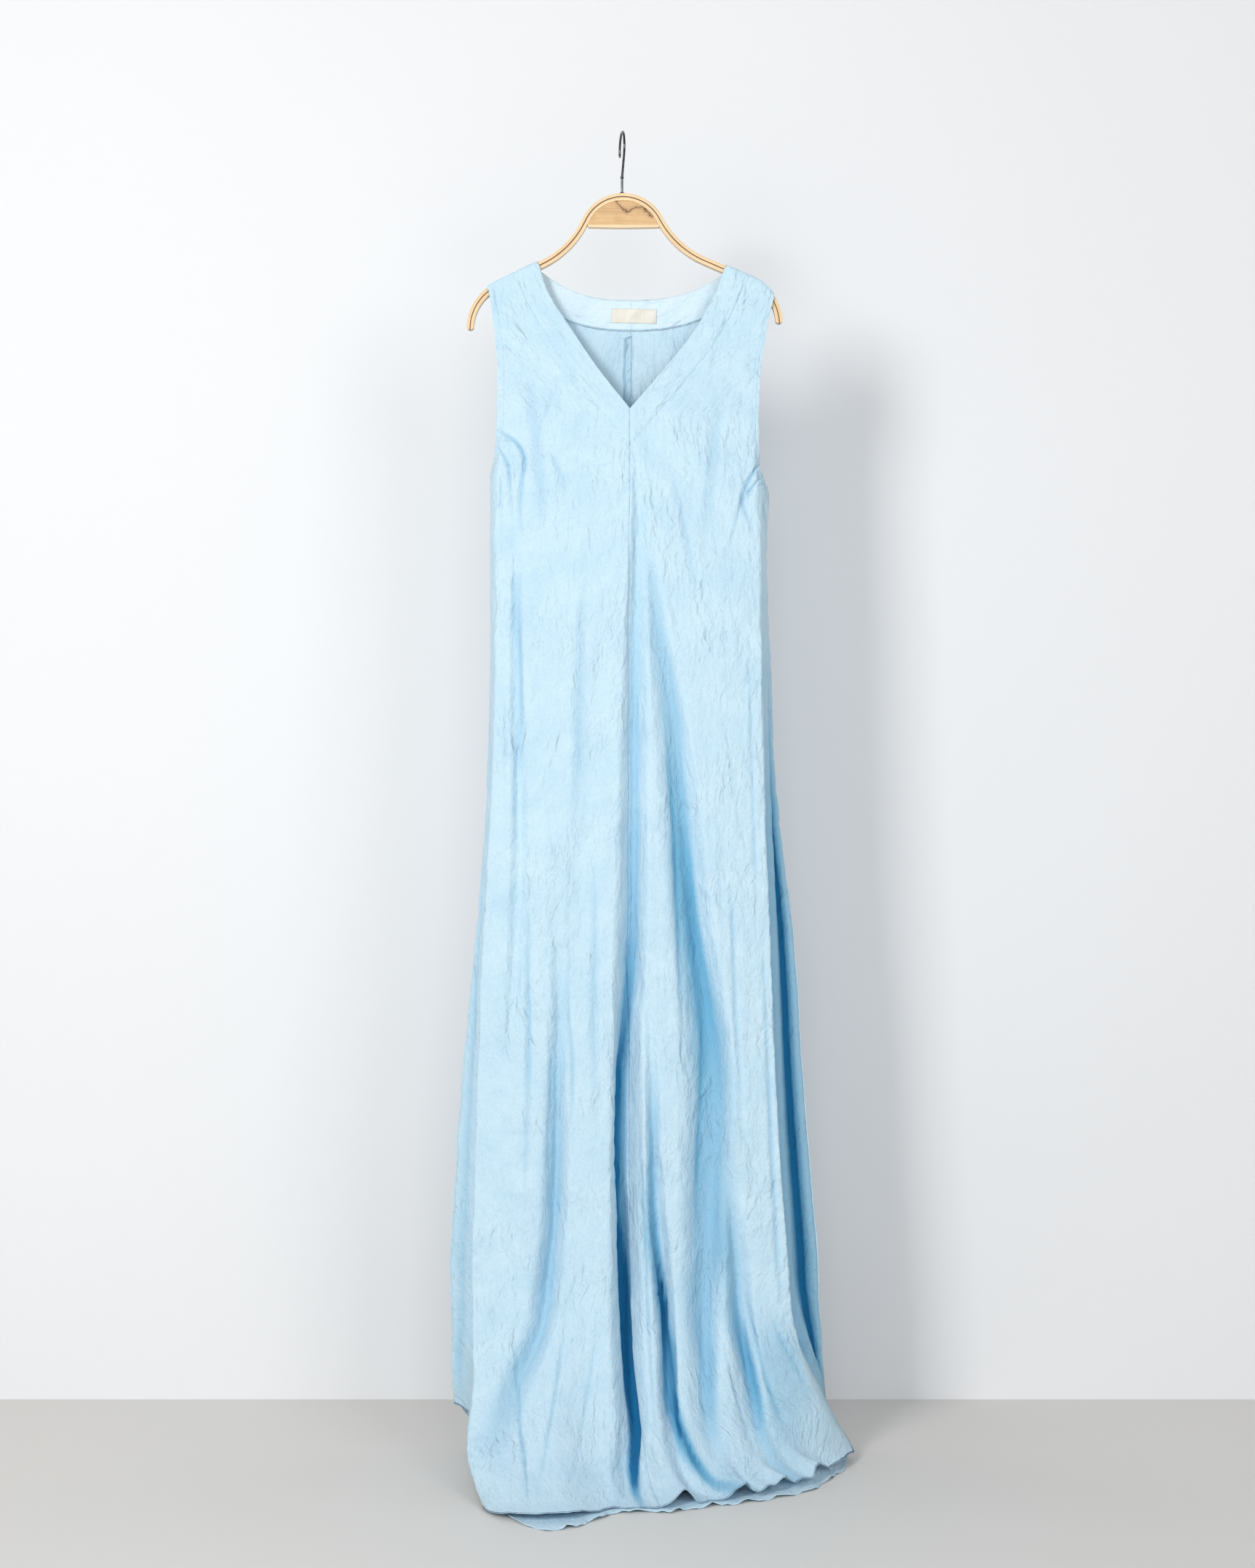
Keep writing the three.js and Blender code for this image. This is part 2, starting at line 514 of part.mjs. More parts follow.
// The bend from the knee to the hem at u, with t from 0 to 1: a cubic from straight down to the
// direction in which the hem lies.
function sweep(side, back, u, t) {
  const from = section(side, back, u, KNEE_DROP, middleX(back, KNEE_DROP));
  const column = (name) => read(back ? side.backHem : side.frontHem, name, u, "u");
  const [hemX, hemY, lift] = hemAt(side, back, u);
  const start = new THREE.Vector3(from.x, from.y, -KNEE_DROP);
  const end = new THREE.Vector3(hemX, hemY, FLOOR + lift);
  const lie = column("lie"), reach = column("reach");
  const level = new THREE.Vector3(end.x - start.x, end.y - start.y, 0).normalize();
  const last = level.multiplyScalar(lie).add(new THREE.Vector3(0, 0, lie - 1)).normalize();
  const stiff = lerp(STIFF_HANGING, STIFF_LYING, lie);
  const curve = new THREE.CubicBezierCurve3(
    start,
    new THREE.Vector3(start.x, start.y, start.z - stiff),
    end.clone().addScaledVector(last, -reach),
    end,
  );
  return { at: curve.getPoint(t), along: curve.getTangent(t), across: from.across };
}

// The middle surface of the cloth. u from 0 to 1 runs outwards over a panel, v runs down it.
function cloth(side, back, u, v) {
  const inward = back ? -1 : 1;
  if (v < ROLLED) {
    const x = lerp(side.neckPoint, side.tipPoint, u);
    const turn = (v * Math.PI) / 2;
    const z = -strapDrop(x) - ROLL_DROP * (1 - Math.cos(turn) ** ROLL_SQUARE);
    return new THREE.Vector3(x, -inward * STRAP_Y * Math.sin(turn) ** ROLL_SQUARE, z);
  }
  if (v <= KNEE) {
    const { drop, innerX } = row(side, back, u, v);
    const { x, y, across } = section(side, back, u, drop, innerX);
    const depth = Math.abs(across) < 1 ? pressed(back, across, drop) : 0;
    return new THREE.Vector3(x, y + inward * depth, -drop);
  }
  const t = v - KNEE;
  const { at, along, across } = sweep(side, back, u, t);
  const drop = KNEE_DROP + SWEEP * t;
  const depth = Math.abs(across) < 1 ? pressed(back, across, drop) : 0;
  const normal = new THREE.Vector3(0, -along.z, -Math.hypot(along.x, along.y)).normalize();
  at.addScaledVector(normal, inward * depth);
  const lowest = FLOOR + (back ? CLOTH / 2 + BACK_CLEAR : FRONT_LIFT);
  at.z = Math.max(at.z, lowest);
  return at;
}

// The inward normal of the cloth, taken across a seam where the next panel goes on.
function inwardNormal(side, back, u, v) {
  const tiny = 0.004;
  const other = side === LEFT ? RIGHT : LEFT;
  const joined = u < tiny && v >= NECKED, sided = u > 1 - tiny && v >= UNDERARM;
  const a = joined ? cloth(other, back, tiny, v) : cloth(side, back, Math.max(0, u - tiny), v);
  const b = sided ? cloth(side, !back, 1 - tiny, v) : cloth(side, back, Math.min(1, u + tiny), v);
  const c = cloth(side, back, u, Math.max(0, v - tiny));
  const d = cloth(side, back, u, Math.min(HEM, v + tiny));
  const n = b.sub(a).cross(d.sub(c)).normalize();
  return n.multiplyScalar(side.sign * (back ? -1 : 1));
}

// A closed wall from points with normals, and the cells between them as lists of four. The wall runs
// from low to high along the normals, and is closed along every edge that only one cell has.
function shell(spots, cells, low, high) {
  const points = [], index = [];
  for (const side of [low, high]) {
    for (const { point, normal } of spots) {
      points.push(point.x + normal.x * side, point.y + normal.y * side, point.z + normal.z * side);
    }
  }
  const count = spots.length;
  const sides = new Map();
  const quad = (a, b, c, d) => index.push(a, b, c, a, c, d);
  for (const [a, b, c, d] of cells) {
    quad(a, b, c, d);
    quad(a + count, d + count, c + count, b + count);
    for (const [from, to] of [[a, b], [b, c], [c, d], [d, a]]) {
      if (!sides.delete(`${to},${from}`)) sides.set(`${from},${to}`, [from, to]);
    }
  }
  for (const [from, to] of sides.values()) quad(to, from, from + count, to + count);
  return facingOut(points, index);
}

// The same from a full grid of rows, grid[i][j] = {point, normal}.
function wall(grid, low, high) {
  const columns = grid[0].length;
  const cells = [];
  for (let i = 0; i < grid.length - 1; i++) {
    for (let j = 0; j < columns - 1; j++) {
      const a = i * columns + j;
      cells.push([a, a + 1, a + 1 + columns, a + columns]);
    }
  }
  return shell(grid.flat(), cells, low, high);
}

// A geometry whose faces point out, whichever way round its triangles were listed.
function facingOut(points, index) {
  let volume = 0;
  const at = (i) => new THREE.Vector3(points[3 * i], points[3 * i + 1], points[3 * i + 2]);
  for (let i = 0; i < index.length; i += 3) {
    volume += at(index[i]).dot(at(index[i + 1]).cross(at(index[i + 2])));
  }
  if (volume < 0) index.reverse();
  const geometry = new THREE.BufferGeometry();
  geometry.setAttribute("position", new THREE.Float32BufferAttribute(points, 3));
  geometry.setIndex(index);
  return geometry;
}

// Places from one value to another, all the stations of v among them.
function spread(stations) {
  const list = [];
  for (const [from, to, count] of stations) {
    for (let i = 0; i < count; i++) list.push(lerp(from, to, i / count));
  }
  list.push(stations[stations.length - 1][1]);
  return list;
}

// How far from a seam the place is that its point is set back towards.
const NEAR_U = 0.03, NEAR_V = 0.1;

// The points of a panel with their normals, set back from each seam by half the gap.
function panelGrid(side, back, columns, rows) {
  return rows.map((v) =>
    columns.map((u) => {
      const point = cloth(side, back, u, v);
      const normal = inwardNormal(side, back, u, v);
      const shift = (towards) => point.addScaledVector(towards.sub(point).normalize(), SEAM_GAP / 2);
      if (u === 0) shift(cloth(side, back, NEAR_U, v));
      if (u === 1) shift(cloth(side, back, 1 - NEAR_U, v));
      if (v === 0) shift(cloth(side, back, u, NEAR_V));
      return { point, normal };
    }),
  );
}

// A point on the inside of the front or the back, given by x and drop, with its inward normal.
function onInside(side, back, x, drop) {
  const lowered = Math.max(drop, strapDrop(x) + FACING_TOP);
  const height = (px, pz) => {
    const across = acrossAt(side, back, px, pz);
    return layerY(back, across, pz) + (back ? -1 : 1) * pressed(back, across, pz);
  };
  const y = height(x, lowered);
  const slopeX = height(x + 0.5, lowered) - height(x - 0.5, lowered);
  const slopeZ = -(height(x, lowered + 0.5) - height(x, lowered - 0.5));
  const normal = new THREE.Vector3(-slopeX, 1, -slopeZ).normalize().multiplyScalar(back ? -1 : 1);
  return { point: new THREE.Vector3(x, y, -lowered), normal };
}

const FACING_LOW = CLOTH / 2 + SEAM_GAP;

// The front neck facing on one side: a strip inside the neckline, mitred at the middle seam.
function frontFacing(side) {
  const steps = 10, lanes = 3;
  const first = side.neck[0].drop + FACING_TOP;
  const grid = [];
  for (let i = 0; i <= steps; i++) {
    const drop = lerp(first, NECK_POINT_DROP, i / steps);
    const x = read(side.neck, "x", drop);
    const slope = read(side.neck, "x", drop + 1) - read(side.neck, "x", drop - 1);
    const outX = i === steps ? 0 : (2 * side.sign) / Math.hypot(2, slope);
    const outZ = i === steps ? MITRE : Math.abs(slope) / Math.hypot(2, slope);
    const line = [];
    for (let j = 0; j <= lanes; j++) {
      const w = SEAM_GAP + (FACING_WIDTH * j) / lanes;
      const lower = drop + outZ * w;
      const middle = middleX(false, lower);
      const inside = Math.max(side.sign * (x + outX * w - middle), SEAM_GAP / 2);
      line.push(onInside(side, false, middle + side.sign * inside, lower));
    }
    grid.push(line);
  }
  return wall(grid, FACING_LOW, FACING_LOW + LINING);
}

// The back neck facing, from shoulder to shoulder.
function backFacing() {
  const steps = 20, lanes = 3;
  const middle = middleX(true, BACK_NECK_DROP);
  const neckline = (x) => backNeckline(x < middle ? RIGHT : LEFT, x, middle);
  const grid = [];
  for (let i = 0; i <= steps; i++) {
    const turn = lerp(-1, 1, i / steps);
    const side = turn < 0 ? RIGHT : LEFT;
    const x = lerp(middle, side.neckPoint, BACK_FACING_SPAN * Math.sin((Math.abs(turn) * Math.PI) / 2));
    const slope = (neckline(x + 0.1) - neckline(x - 0.1)) / 0.2;
    const length = Math.hypot(1, slope);
    const width = lerp(BACK_FACING_WIDTH, FACING_WIDTH, Math.abs(turn) ** 2);
    const line = [];
    for (let j = 0; j <= lanes; j++) {
      const w = SEAM_GAP + (width * j) / lanes;
      line.push(onInside(side, true, x - (slope * w) / length, neckline(x) + w / length));
    }
    grid.push(line);
  }
  return wall(grid, FACING_LOW, FACING_LOW + LINING);
}

// The label, on the inside of the back neck facing.
function label() {
  const lines = 3, steps = 6;
  const grid = [];
  for (let i = 0; i < lines; i++) {
    const drop = LABEL.drop + LABEL.height * (i / (lines - 1) - 0.5);
    const line = [];
    for (let j = 0; j <= steps; j++) {
      const x = LABEL.x + LABEL.width * (j / steps - 0.5);
      line.push(onInside(x < middleX(true, drop) ? RIGHT : LEFT, true, x, drop));
    }
    grid.push(line);
  }
  const low = FACING_LOW + LINING + SEAM_GAP;
  return wall(grid, low, low + LINING);
}

// The seam allowance inside the centre back seam, made from the first columns of the right panel.
function allowance(grid, rows) {
  const covered = grid.filter((_, i) => rows[i] > NECKED && rows[i] <= KNEE);
  const strip = covered.map((line) => line.slice(0, 2));
  return wall(strip, FACING_LOW, FACING_LOW + LINING);
}

// The band inside an armhole, made from the outer columns of the front and back panels: down the
// front, under the arm, where the two meet at the top of the side seam, and up the back.
function armholeBand(front, back, columns, rows) {
  const first = rows.indexOf(ROLLED), last = rows.indexOf(UNDERARM) + 1;
  const spots = [], cells = [];
  const numbers = new Map();
  const number = (layer, i, u) => {
    const seam = u === 1 && i >= last - 1;
    const name = seam ? `seam ${i}` : `${layer} ${i} ${u}`;
    if (!numbers.has(name)) {
      numbers.set(name, spots.length);
      const spot = (layer === "front" ? front : back)[i][columns[layer].indexOf(u)];
      const point = seam ? front[i].at(-1).point.clone().lerp(back[i].at(-1).point, 0.5) : spot.point;
      spots.push({ point, normal: spot.normal });
    }
    return numbers.get(name);
  };
  for (const layer of ["front", "back"]) {
    const side = columns[layer].filter((u) => u >= EDGE_U);
    for (let i = first; i < last; i++) {
      for (let j = 0; j < side.length - 1; j++) {
        const above = number(layer, i, side[j + 1]), below = number(layer, i + 1, side[j]);
        const [second, fourth] = layer === "front" ? [above, below] : [below, above];
        cells.push([number(layer, i, side[j]), second, number(layer, i + 1, side[j + 1]), fourth]);
      }
    }
  }
  return shell(spots, cells, FACING_LOW, FACING_LOW + LINING);
}

// A flat outline in X and Z, made into a solid as deep as the bow.
function slab(outline) {
  const shape = new THREE.Shape(outline.map(([x, z]) => new THREE.Vector2(x, z)));
  const geometry = new THREE.ExtrudeGeometry(shape, { depth: BOW_DEPTH, bevelEnabled: false });
  geometry.rotateX(Math.PI / 2);
  geometry.translate(0, BOW_DEPTH / 2, 0);
  return geometry;
}

const strip = (outer, inner) => slab([...bowLine(outer), ...bowLine(inner).reverse()]);

function infill() {
  const roof = bowLine(-BOW_HALF - SEAM_GAP, { arch: 14, neck: 10, tip: 4 });
  return slab(roof.filter(([, z]) => z > INFILL_BOTTOM));
}

function toSolid(geometry) {
  const bare = geometry.clone();
  bare.deleteAttribute("normal");
  bare.deleteAttribute("uv");
  const merged = mergeVertices(bare, 1e-4);
  return new wasm.Manifold(
    new wasm.Mesh({
      numProp: 3,
      vertProperties: merged.attributes.position.array,
      triVerts: new Uint32Array(merged.index.array),
    }),
  );
}

function toGeometry(solid) {
  const mesh = solid.getMesh();
  const geometry = new THREE.BufferGeometry();
  geometry.setAttribute("position", new THREE.Float32BufferAttribute(mesh.vertProperties, 3));
  geometry.setIndex([...mesh.triVerts]);
  return geometry;
}

// A piece of the hanger with the hole for the hook's stem.
function drilled(geometry) {
  const drill = new THREE.CylinderGeometry(WIRE_RADIUS + SEAM_GAP, WIRE_RADIUS + SEAM_GAP, DRILL_LENGTH, 12);
  drill.rotateX(Math.PI / 2);
  drill.translate(0, 0, STEM_BOTTOM - SEAM_GAP + DRILL_LENGTH / 2);
  return toGeometry(toSolid(geometry).subtract(toSolid(drill)));
}

// The hook: a stem up from the wood, a leg forward, and an arc over the top that ends behind.
function hook() {
  const middle = HOOK_RADIUS + WIRE_RADIUS;
  const path = new THREE.CurvePath();
  const at = (y, z) => new THREE.Vector3(-y * Math.sin(HOOK_TURN), y * Math.cos(HOOK_TURN), z);
  const arcPoint = (a) => at(middle * Math.cos(a), -HOOK_RADIUS + middle * Math.sin(a));
  const bend = at(0, STEM_TOP), joint = arcPoint(HOOK_START);
  const nearBend = bend.clone().lerp(joint, 0.15);
  path.add(new THREE.LineCurve3(at(0, STEM_BOTTOM), at(0, STEM_TOP - BEND_LENGTH)));
  path.add(new THREE.QuadraticBezierCurve3(at(0, STEM_TOP - BEND_LENGTH), bend, nearBend));
  const turns = 22;
  const points = [nearBend, bend.clone().lerp(joint, 0.5), joint];
  for (let i = 1; i <= turns; i++) points.push(arcPoint(lerp(HOOK_START, HOOK_END, i / turns)));
  path.add(new THREE.CatmullRomCurve3(points, false, "centripetal"));
  const ring = [];
  for (let i = 0; i < 10; i++) {
    const a = (i * 2 * Math.PI) / 10;
    ring.push(new THREE.Vector2(WIRE_RADIUS * Math.cos(a), WIRE_RADIUS * Math.sin(a)));
  }
  const wire = new THREE.ExtrudeGeometry(new THREE.Shape(ring), { steps: 44, extrudePath: path });
  const ball = new THREE.SphereGeometry(BALL_RADIUS, 12, 8);
  ball.translate(0, 0, STEM_TOP);
  return toGeometry(toSolid(wire).add(toSolid(ball)));
}

// The washer round the stem, on top of the bow.
function washer() {
  const inner = WIRE_RADIUS + SEAM_GAP, foot = APEX + BOW_HALF + SEAM_GAP;
  const top = foot + WASHER.height;
  const profile = [
    [inner, foot],
    [WASHER.radius, foot],
    [WASHER.radius, foot + WASHER.thickness],
    [inner + WASHER.collar, top],
    [inner, top],
    [inner, foot],
  ].map(([r, z]) => new THREE.Vector2(r, z));
  return new THREE.LatheGeometry(profile, 16).rotateX(Math.PI / 2);
}

const finish = (color, roughness, metalness = 0) =>
  new THREE.MeshStandardMaterial({ color, roughness, metalness });
const linen = () => finish(0xa9d3ec, 0.85);
const pale = finish(0xf1ecdd, 0.8);
const maple = () => finish(0xe6bd85, 0.5);
const walnut = finish(0x5a3a20, 0.6);
const steel = () => finish(0xc9cbce, 0.2, 1);

const dress = new THREE.Group();
const hanger = new THREE.Group();
const add = (group, name, geometry, material) => {
  const mesh = new THREE.Mesh(geometry, material);
  mesh.name = name;
  group.add(mesh);
};

// One row lies just under the underarm. The armhole bands end on it.
const UNDER_BAND = UNDERARM + 0.01;
const rows = spread([
  [0, ROLLED, 3],
  [ROLLED, NECKED, 4],
  [NECKED, UNDERARM, 3],
  [UNDERARM, UNDER_BAND, 1],
  [UNDER_BAND, KNEE, 11],
  [KNEE, HEM, 8],
]);
const columns = {
  front: spread([[0, EDGE_U, 18], [EDGE_U, 1, 6]]),
  back: spread([[0, 0.05, 1], [0.05, EDGE_U, 12], [EDGE_U, 1, 6]]),
};
const grids = {};
for (const [name, side] of [["right", RIGHT], ["left", LEFT]]) {
  const front = panelGrid(side, false, columns.front, rows);
  const back = panelGrid(side, true, columns.back, rows);
  grids[name] = { front, back };
  add(dress, `front_${name}_panel`, wall(front, -CLOTH / 2, CLOTH / 2), linen());
  add(dress, `back_${name}_panel`, wall(back, -CLOTH / 2, CLOTH / 2), linen());
  add(dress, `front_${name}_neck_facing`, frontFacing(side), linen());
  add(dress, `${name}_armhole_band`, armholeBand(front, back, columns, rows), linen());
}
add(dress, "back_neck_facing", backFacing(), linen());
add(dress, "centre_back_seam_allowance", allowance(grids.right.back, rows), linen());
add(dress, "neck_label", label(), pale);

add(hanger, "hanger_outer_ply", drilled(strip(BOW_HALF, CORE_HALF + SEAM_GAP)), maple());
add(hanger, "hanger_core_ply", drilled(strip(CORE_HALF, -CORE_HALF)), walnut);
add(hanger, "hanger_inner_ply", drilled(strip(-CORE_HALF - SEAM_GAP, -BOW_HALF)), maple());
add(hanger, "hanger_infill", drilled(infill()), maple());
add(hanger, "hanger_hook", hook(), steel());
add(hanger, "hook_washer", washer(), steel());

const garment = new THREE.Group();
garment.add(dress, hanger);
export default garment;
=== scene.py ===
# The looks of a long sleeveless linen sundress with a V neck, on a bent-ply hanger with a steel hook.
# Sizes are in millimetres until a mesh is made, and heights below the hook's top are given as drops.
import math
from functools import reduce

import bmesh
import bpy
import numpy as np
from mathutils import Matrix, Vector, noise


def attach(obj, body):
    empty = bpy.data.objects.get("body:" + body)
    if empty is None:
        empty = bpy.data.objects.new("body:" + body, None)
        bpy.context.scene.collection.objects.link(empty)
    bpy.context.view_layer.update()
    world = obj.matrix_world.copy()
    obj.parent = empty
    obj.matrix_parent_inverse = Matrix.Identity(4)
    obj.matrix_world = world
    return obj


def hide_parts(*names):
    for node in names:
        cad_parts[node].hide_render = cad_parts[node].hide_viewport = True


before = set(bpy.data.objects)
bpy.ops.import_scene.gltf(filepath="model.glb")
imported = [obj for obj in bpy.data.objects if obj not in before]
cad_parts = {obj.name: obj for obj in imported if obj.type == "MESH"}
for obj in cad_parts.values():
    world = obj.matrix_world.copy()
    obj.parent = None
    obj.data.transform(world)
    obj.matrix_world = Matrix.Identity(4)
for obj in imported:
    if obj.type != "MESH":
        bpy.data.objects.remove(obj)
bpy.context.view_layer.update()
bpy.ops.object.select_all(action="DESELECT")

MM = 0.001

# Camera, from the picture's frame: the size in pixels and the lens as a length in the same pixels
PICTURE_HEIGHT = 2156
LENS_IN_PIXELS = 3478
SENSOR = 36.0
CAMERA_PLACE = (6.9, -3200.0, -823.0)

# Cloth, and the planes of the stage
CLOTH = 0.8
LINING = 0.6
SEAM_GAP = 0.3  # between two pieces that are sewn together
HALF_GAP = SEAM_GAP / 2
FACING_OFFSET = CLOTH / 2 + HALF_GAP + LINING / 2  # from the middle of a panel to the middle of its facing
FLOOR = -1673.0
WALL_Y = 294.0

# Hanger: the bow's centre line is an arch, a flank, a neck curve, a shoulder and a turned-down tip
APEX = -81.2
ARCH_RADIUS = 52.0
FLANK_ANGLE = math.radians(62)
FLANK_LENGTH = 5.0
NECK_RADIUS = 116.0
SHOULDER_ANGLE = math.radians(24.6)
SHOULDER_LENGTH = 63.6
TIP_RADIUS = 60.0
TIP_ANGLE = math.radians(85)
TIP_LENGTH = 5.0
BOW_HALF = 4.5
CORE_HALF = 0.55
PLY_GAP = 0.05
BOW_DEPTH = 12.0
BOW_TILT = math.radians(1.2)
TIP_ROUND = 3.6
PLY_ROUND, CORE_ROUND, INFILL_ROUND = 1.0, 0.12, 0.9  # of the edges
INFILL_BOTTOM = -119.5
INFILL_INSET = 0.4  # of the infill's faces from the bow's
INFILL_SAG = 0.8
ROOF_GAP = 0.1  # between the infill and the bow
SAME_PLACE, NEAR_PLACE = 1e-6, 1e-5  # metres

# Hook
WIRE_RADIUS = 1.5
HOOK_RADIUS = 20.0
HOOK_TURN = math.radians(8)
HOOK_START = math.radians(215)
HOOK_END = math.radians(-15)
STEM_TOP = -56.0
STEM_BOTTOM = -99.0
BALL_RADIUS = 2.3
TIP_SHARE = 0.72  # of the wire's radius at its two ends
WASHER_RADIUS, WASHER_THICKNESS, WASHER_ROUND = 3.4, 1.0, 0.22
COLLAR_INSET, COLLAR_HEIGHT, COLLAR_TAPER = 0.9, 1.1, 0.86

# Shoulders
STRAP_Y = 8.5  # from the bow's middle plane to the cloth beside it
STRAP_REST = 0.6  # between the wood and the cloth on it
STRAP_ACROSS = 0.9
ROLL_DROP = 6.0
ROLL_SQUARE = 0.35  # how squarely the cloth turns over the wood. 1 is a round turn
SOLID_CLOTH = 1.2  # the wall that the shoulders' rest over the wood is set by

# Stations down a panel: foot of the roll over the bow, point of the neck, underarm, knee, hem
ROLLED, NECKED, UNDERARM, KNEE, HEM = 1, 2, 3, 4, 5
UNDER_BAND = UNDERARM + 0.01
KNEE_DROP = 1430.0
SWEEP = 330.0
CHEST_DROP = 447.0
EDGE_U = 0.84  # the share of a panel that lies in the front or the back. The rest is at the side
BEFORE_EDGE = 14.0  # how far in from the edge the turn into the side begins
BEFORE_HEM_EDGE = 0.08  # the same at the hem, as a share of the panel
TUCK_OUT = 0.7  # the back layer's tuck, as a share of the way from the edge out to the side seam
TUCK_BACK = 0.55  # and of the way from the side seam to the back
ARMHOLE_TUCK_BACK = 0.1
STIFF_HANGING = 60.0  # how far past the knee the cloth keeps straight down, where its hem hangs
STIFF_LYING = 110.0  # the same where its hem lies
BACK_CLEAR = 0.1  # between the back layer and what it lies on
FRONT_LIFT = 3.0  # lowest height of the front layer's middle over the floor
FINE_FRONT_LIFT = 2.2  # the same after the creases

# Neck
NECK_POINT_DROP = 351.0
BACK_NECK_DROP = 209.0
BACK_NECK_POWER = 2.6  # how square the back neckline is
FACING_WIDTH = 32.0
BACK_FACING_WIDTH = 39.0
BACK_FACING_SPAN = 0.985  # how much of the way to the neck points the back facing goes
MITRE = 1.32  # how much longer than wide the front facings are where they meet at the point
FACING_TOP = 7.0  # the facings stop this far below the shoulder seam, beside the bow
FACING_APART = 0.15  # of each front facing from the middle
LABEL_X, LABEL_DROP, LABEL_WIDTH, LABEL_HEIGHT = 15.0, 229.0, 58.0, 18.0
LABEL_THICKNESS = 0.5
LABEL_TURN = math.radians(-1.2)
LABEL_BULGE = 0.35
LABEL_SEWING_IN = 1.2
LABEL_OFFSET = CLOTH / 2 + HALF_GAP + LINING + HALF_GAP + LABEL_THICKNESS / 2


def lerp(a, b, t):
    return a + (b - a) * t


def smoothstep(low, high, x):
    t = np.clip((x - low) / (high - low), 0, 1)
    return t * t * (3 - 2 * t)


class Table:
    """Rows of sizes under named columns, the first of them the key. read() gives a column at a key, on a
    smooth curve that goes through each row and never passes beyond two neighbours."""

    def __init__(self, names, *rows):
        self.names = names.split()
        self.rows = rows
        self.columns = dict(zip(self.names, np.array(rows, float).T))
        self.keys = self.columns[self.names[0]]
        self.slopes = {}
        for name, y in self.columns.items():
            rise = np.diff(y) / np.diff(self.keys)
            a, b = rise[:-1], rise[1:]
            mean = np.where(a * b > 0, 2 * a * b / np.where(a + b == 0, 1, a + b), 0)
            self.slopes[name] = np.concatenate([rise[:1], mean, rise[-1:]])

    def read(self, name, at):
        x, y, slope = self.keys, self.columns[name], self.slopes[name]
        at = np.clip(at, x[0], x[-1])
        i = np.clip(np.searchsorted(x, at, side="right") - 1, 0, len(x) - 2)
        h = x[i + 1] - x[i]
        t = (at - x[i]) / h
        t2, t3 = t * t, t * t * t
        return ((2 * t3 - 3 * t2 + 1) * y[i] + (t3 - 2 * t2 + t) * h * slope[i]
                + (3 * t2 - 2 * t3) * y[i + 1] + (t3 - t2) * h * slope[i + 1])


MIDDLE = Table(
    "drop frontX backX frontY backY crown",
    (150, 10, 12, -8.5, 8.5, 0), (200, 10, 12, -9, 10, 0), (351, 10, 11, -23, 24, 5),
    (447, 10, 10, -33, 32, 10), (600, 9, 9, -42, 38, 14), (900, 8, 8, -48, 45, 14),
    (1200, 8, 8, -53, 51, 14), (1430, 9, 8, -56, 54, 12),
)


class Side:
    """One side of the dress, the wearer's right or left."""

    def __init__(self, name, sign, neck_point, tip_point, arm_row, back_arm_row, underarm):
        self.name = name
        self.sign = sign
        self.neck_point = neck_point
        self.tip_point = tip_point
        self.arm_row = arm_row
        self.back_arm_row = back_arm_row
        self.underarm = underarm


OUTLINE = "drop edgeX tuckX tuckY outX outY"
HEM_COLUMNS = "u x y lift lie reach"

RIGHT = Side("right", -1, -107.0, -170.0, 355.0, 300.0, 436.0)
RIGHT.neck = Table("drop x", (160, -107), (200, -94), (250, -63.5), (300, -30), (351, 10))
RIGHT.outline = Table(
    OUTLINE,
    (188, -163, -166.5, -8.8, -170, -8.7), (235, -156, -159.5, -10.4, -163, -10.2),
    (300, -150, -153.5, -13.8, -157, -13.5), (360, -150, -154, -17.2, -157.5, -16),
    (405, -152, -157, -17, -160.5, -12), (436, -154, -161, -16, -167, 0), (530, -156, -162, -18, -167, 2),
    (660, -157, -162, -18, -167, 3), (840, -163, -167, -16, -172, 4), (1030, -175, -176, -12, -187, 6),
    (1210, -181, -178, -10, -204, 8), (1430, -187, -181, -8, -218, 10),
)
RIGHT.front_hem = Table(
    HEM_COLUMNS,
    (0, 46, -238, 6, 1, 110), (0.22, -6, -240, 6, 1, 110), (0.45, -72, -288, 6, 1, 120),
    (0.65, -122, -282, 6, 1, 110),
    (EDGE_U, -162, -240, 6, 0.8, 100),
    (0.92, -178, -34, 48, 0.2, 60), (1, -213, 8, 64, 0, 50),
)
RIGHT.back_hem = Table(
    HEM_COLUMNS,
    (0, 44, -246, 0.7, 1, 190), (0.22, -8, -252, 0.7, 1, 190), (0.45, -74, -308, 0.7, 1, 200),
    (0.65, -126, -270, 0.7, 1, 150),
    (EDGE_U, -168, -60, 6, 0.6, 90),
    (0.92, -196, 34, 44, 0.1, 60), (1, -213, 8, 64, 0, 50),
)

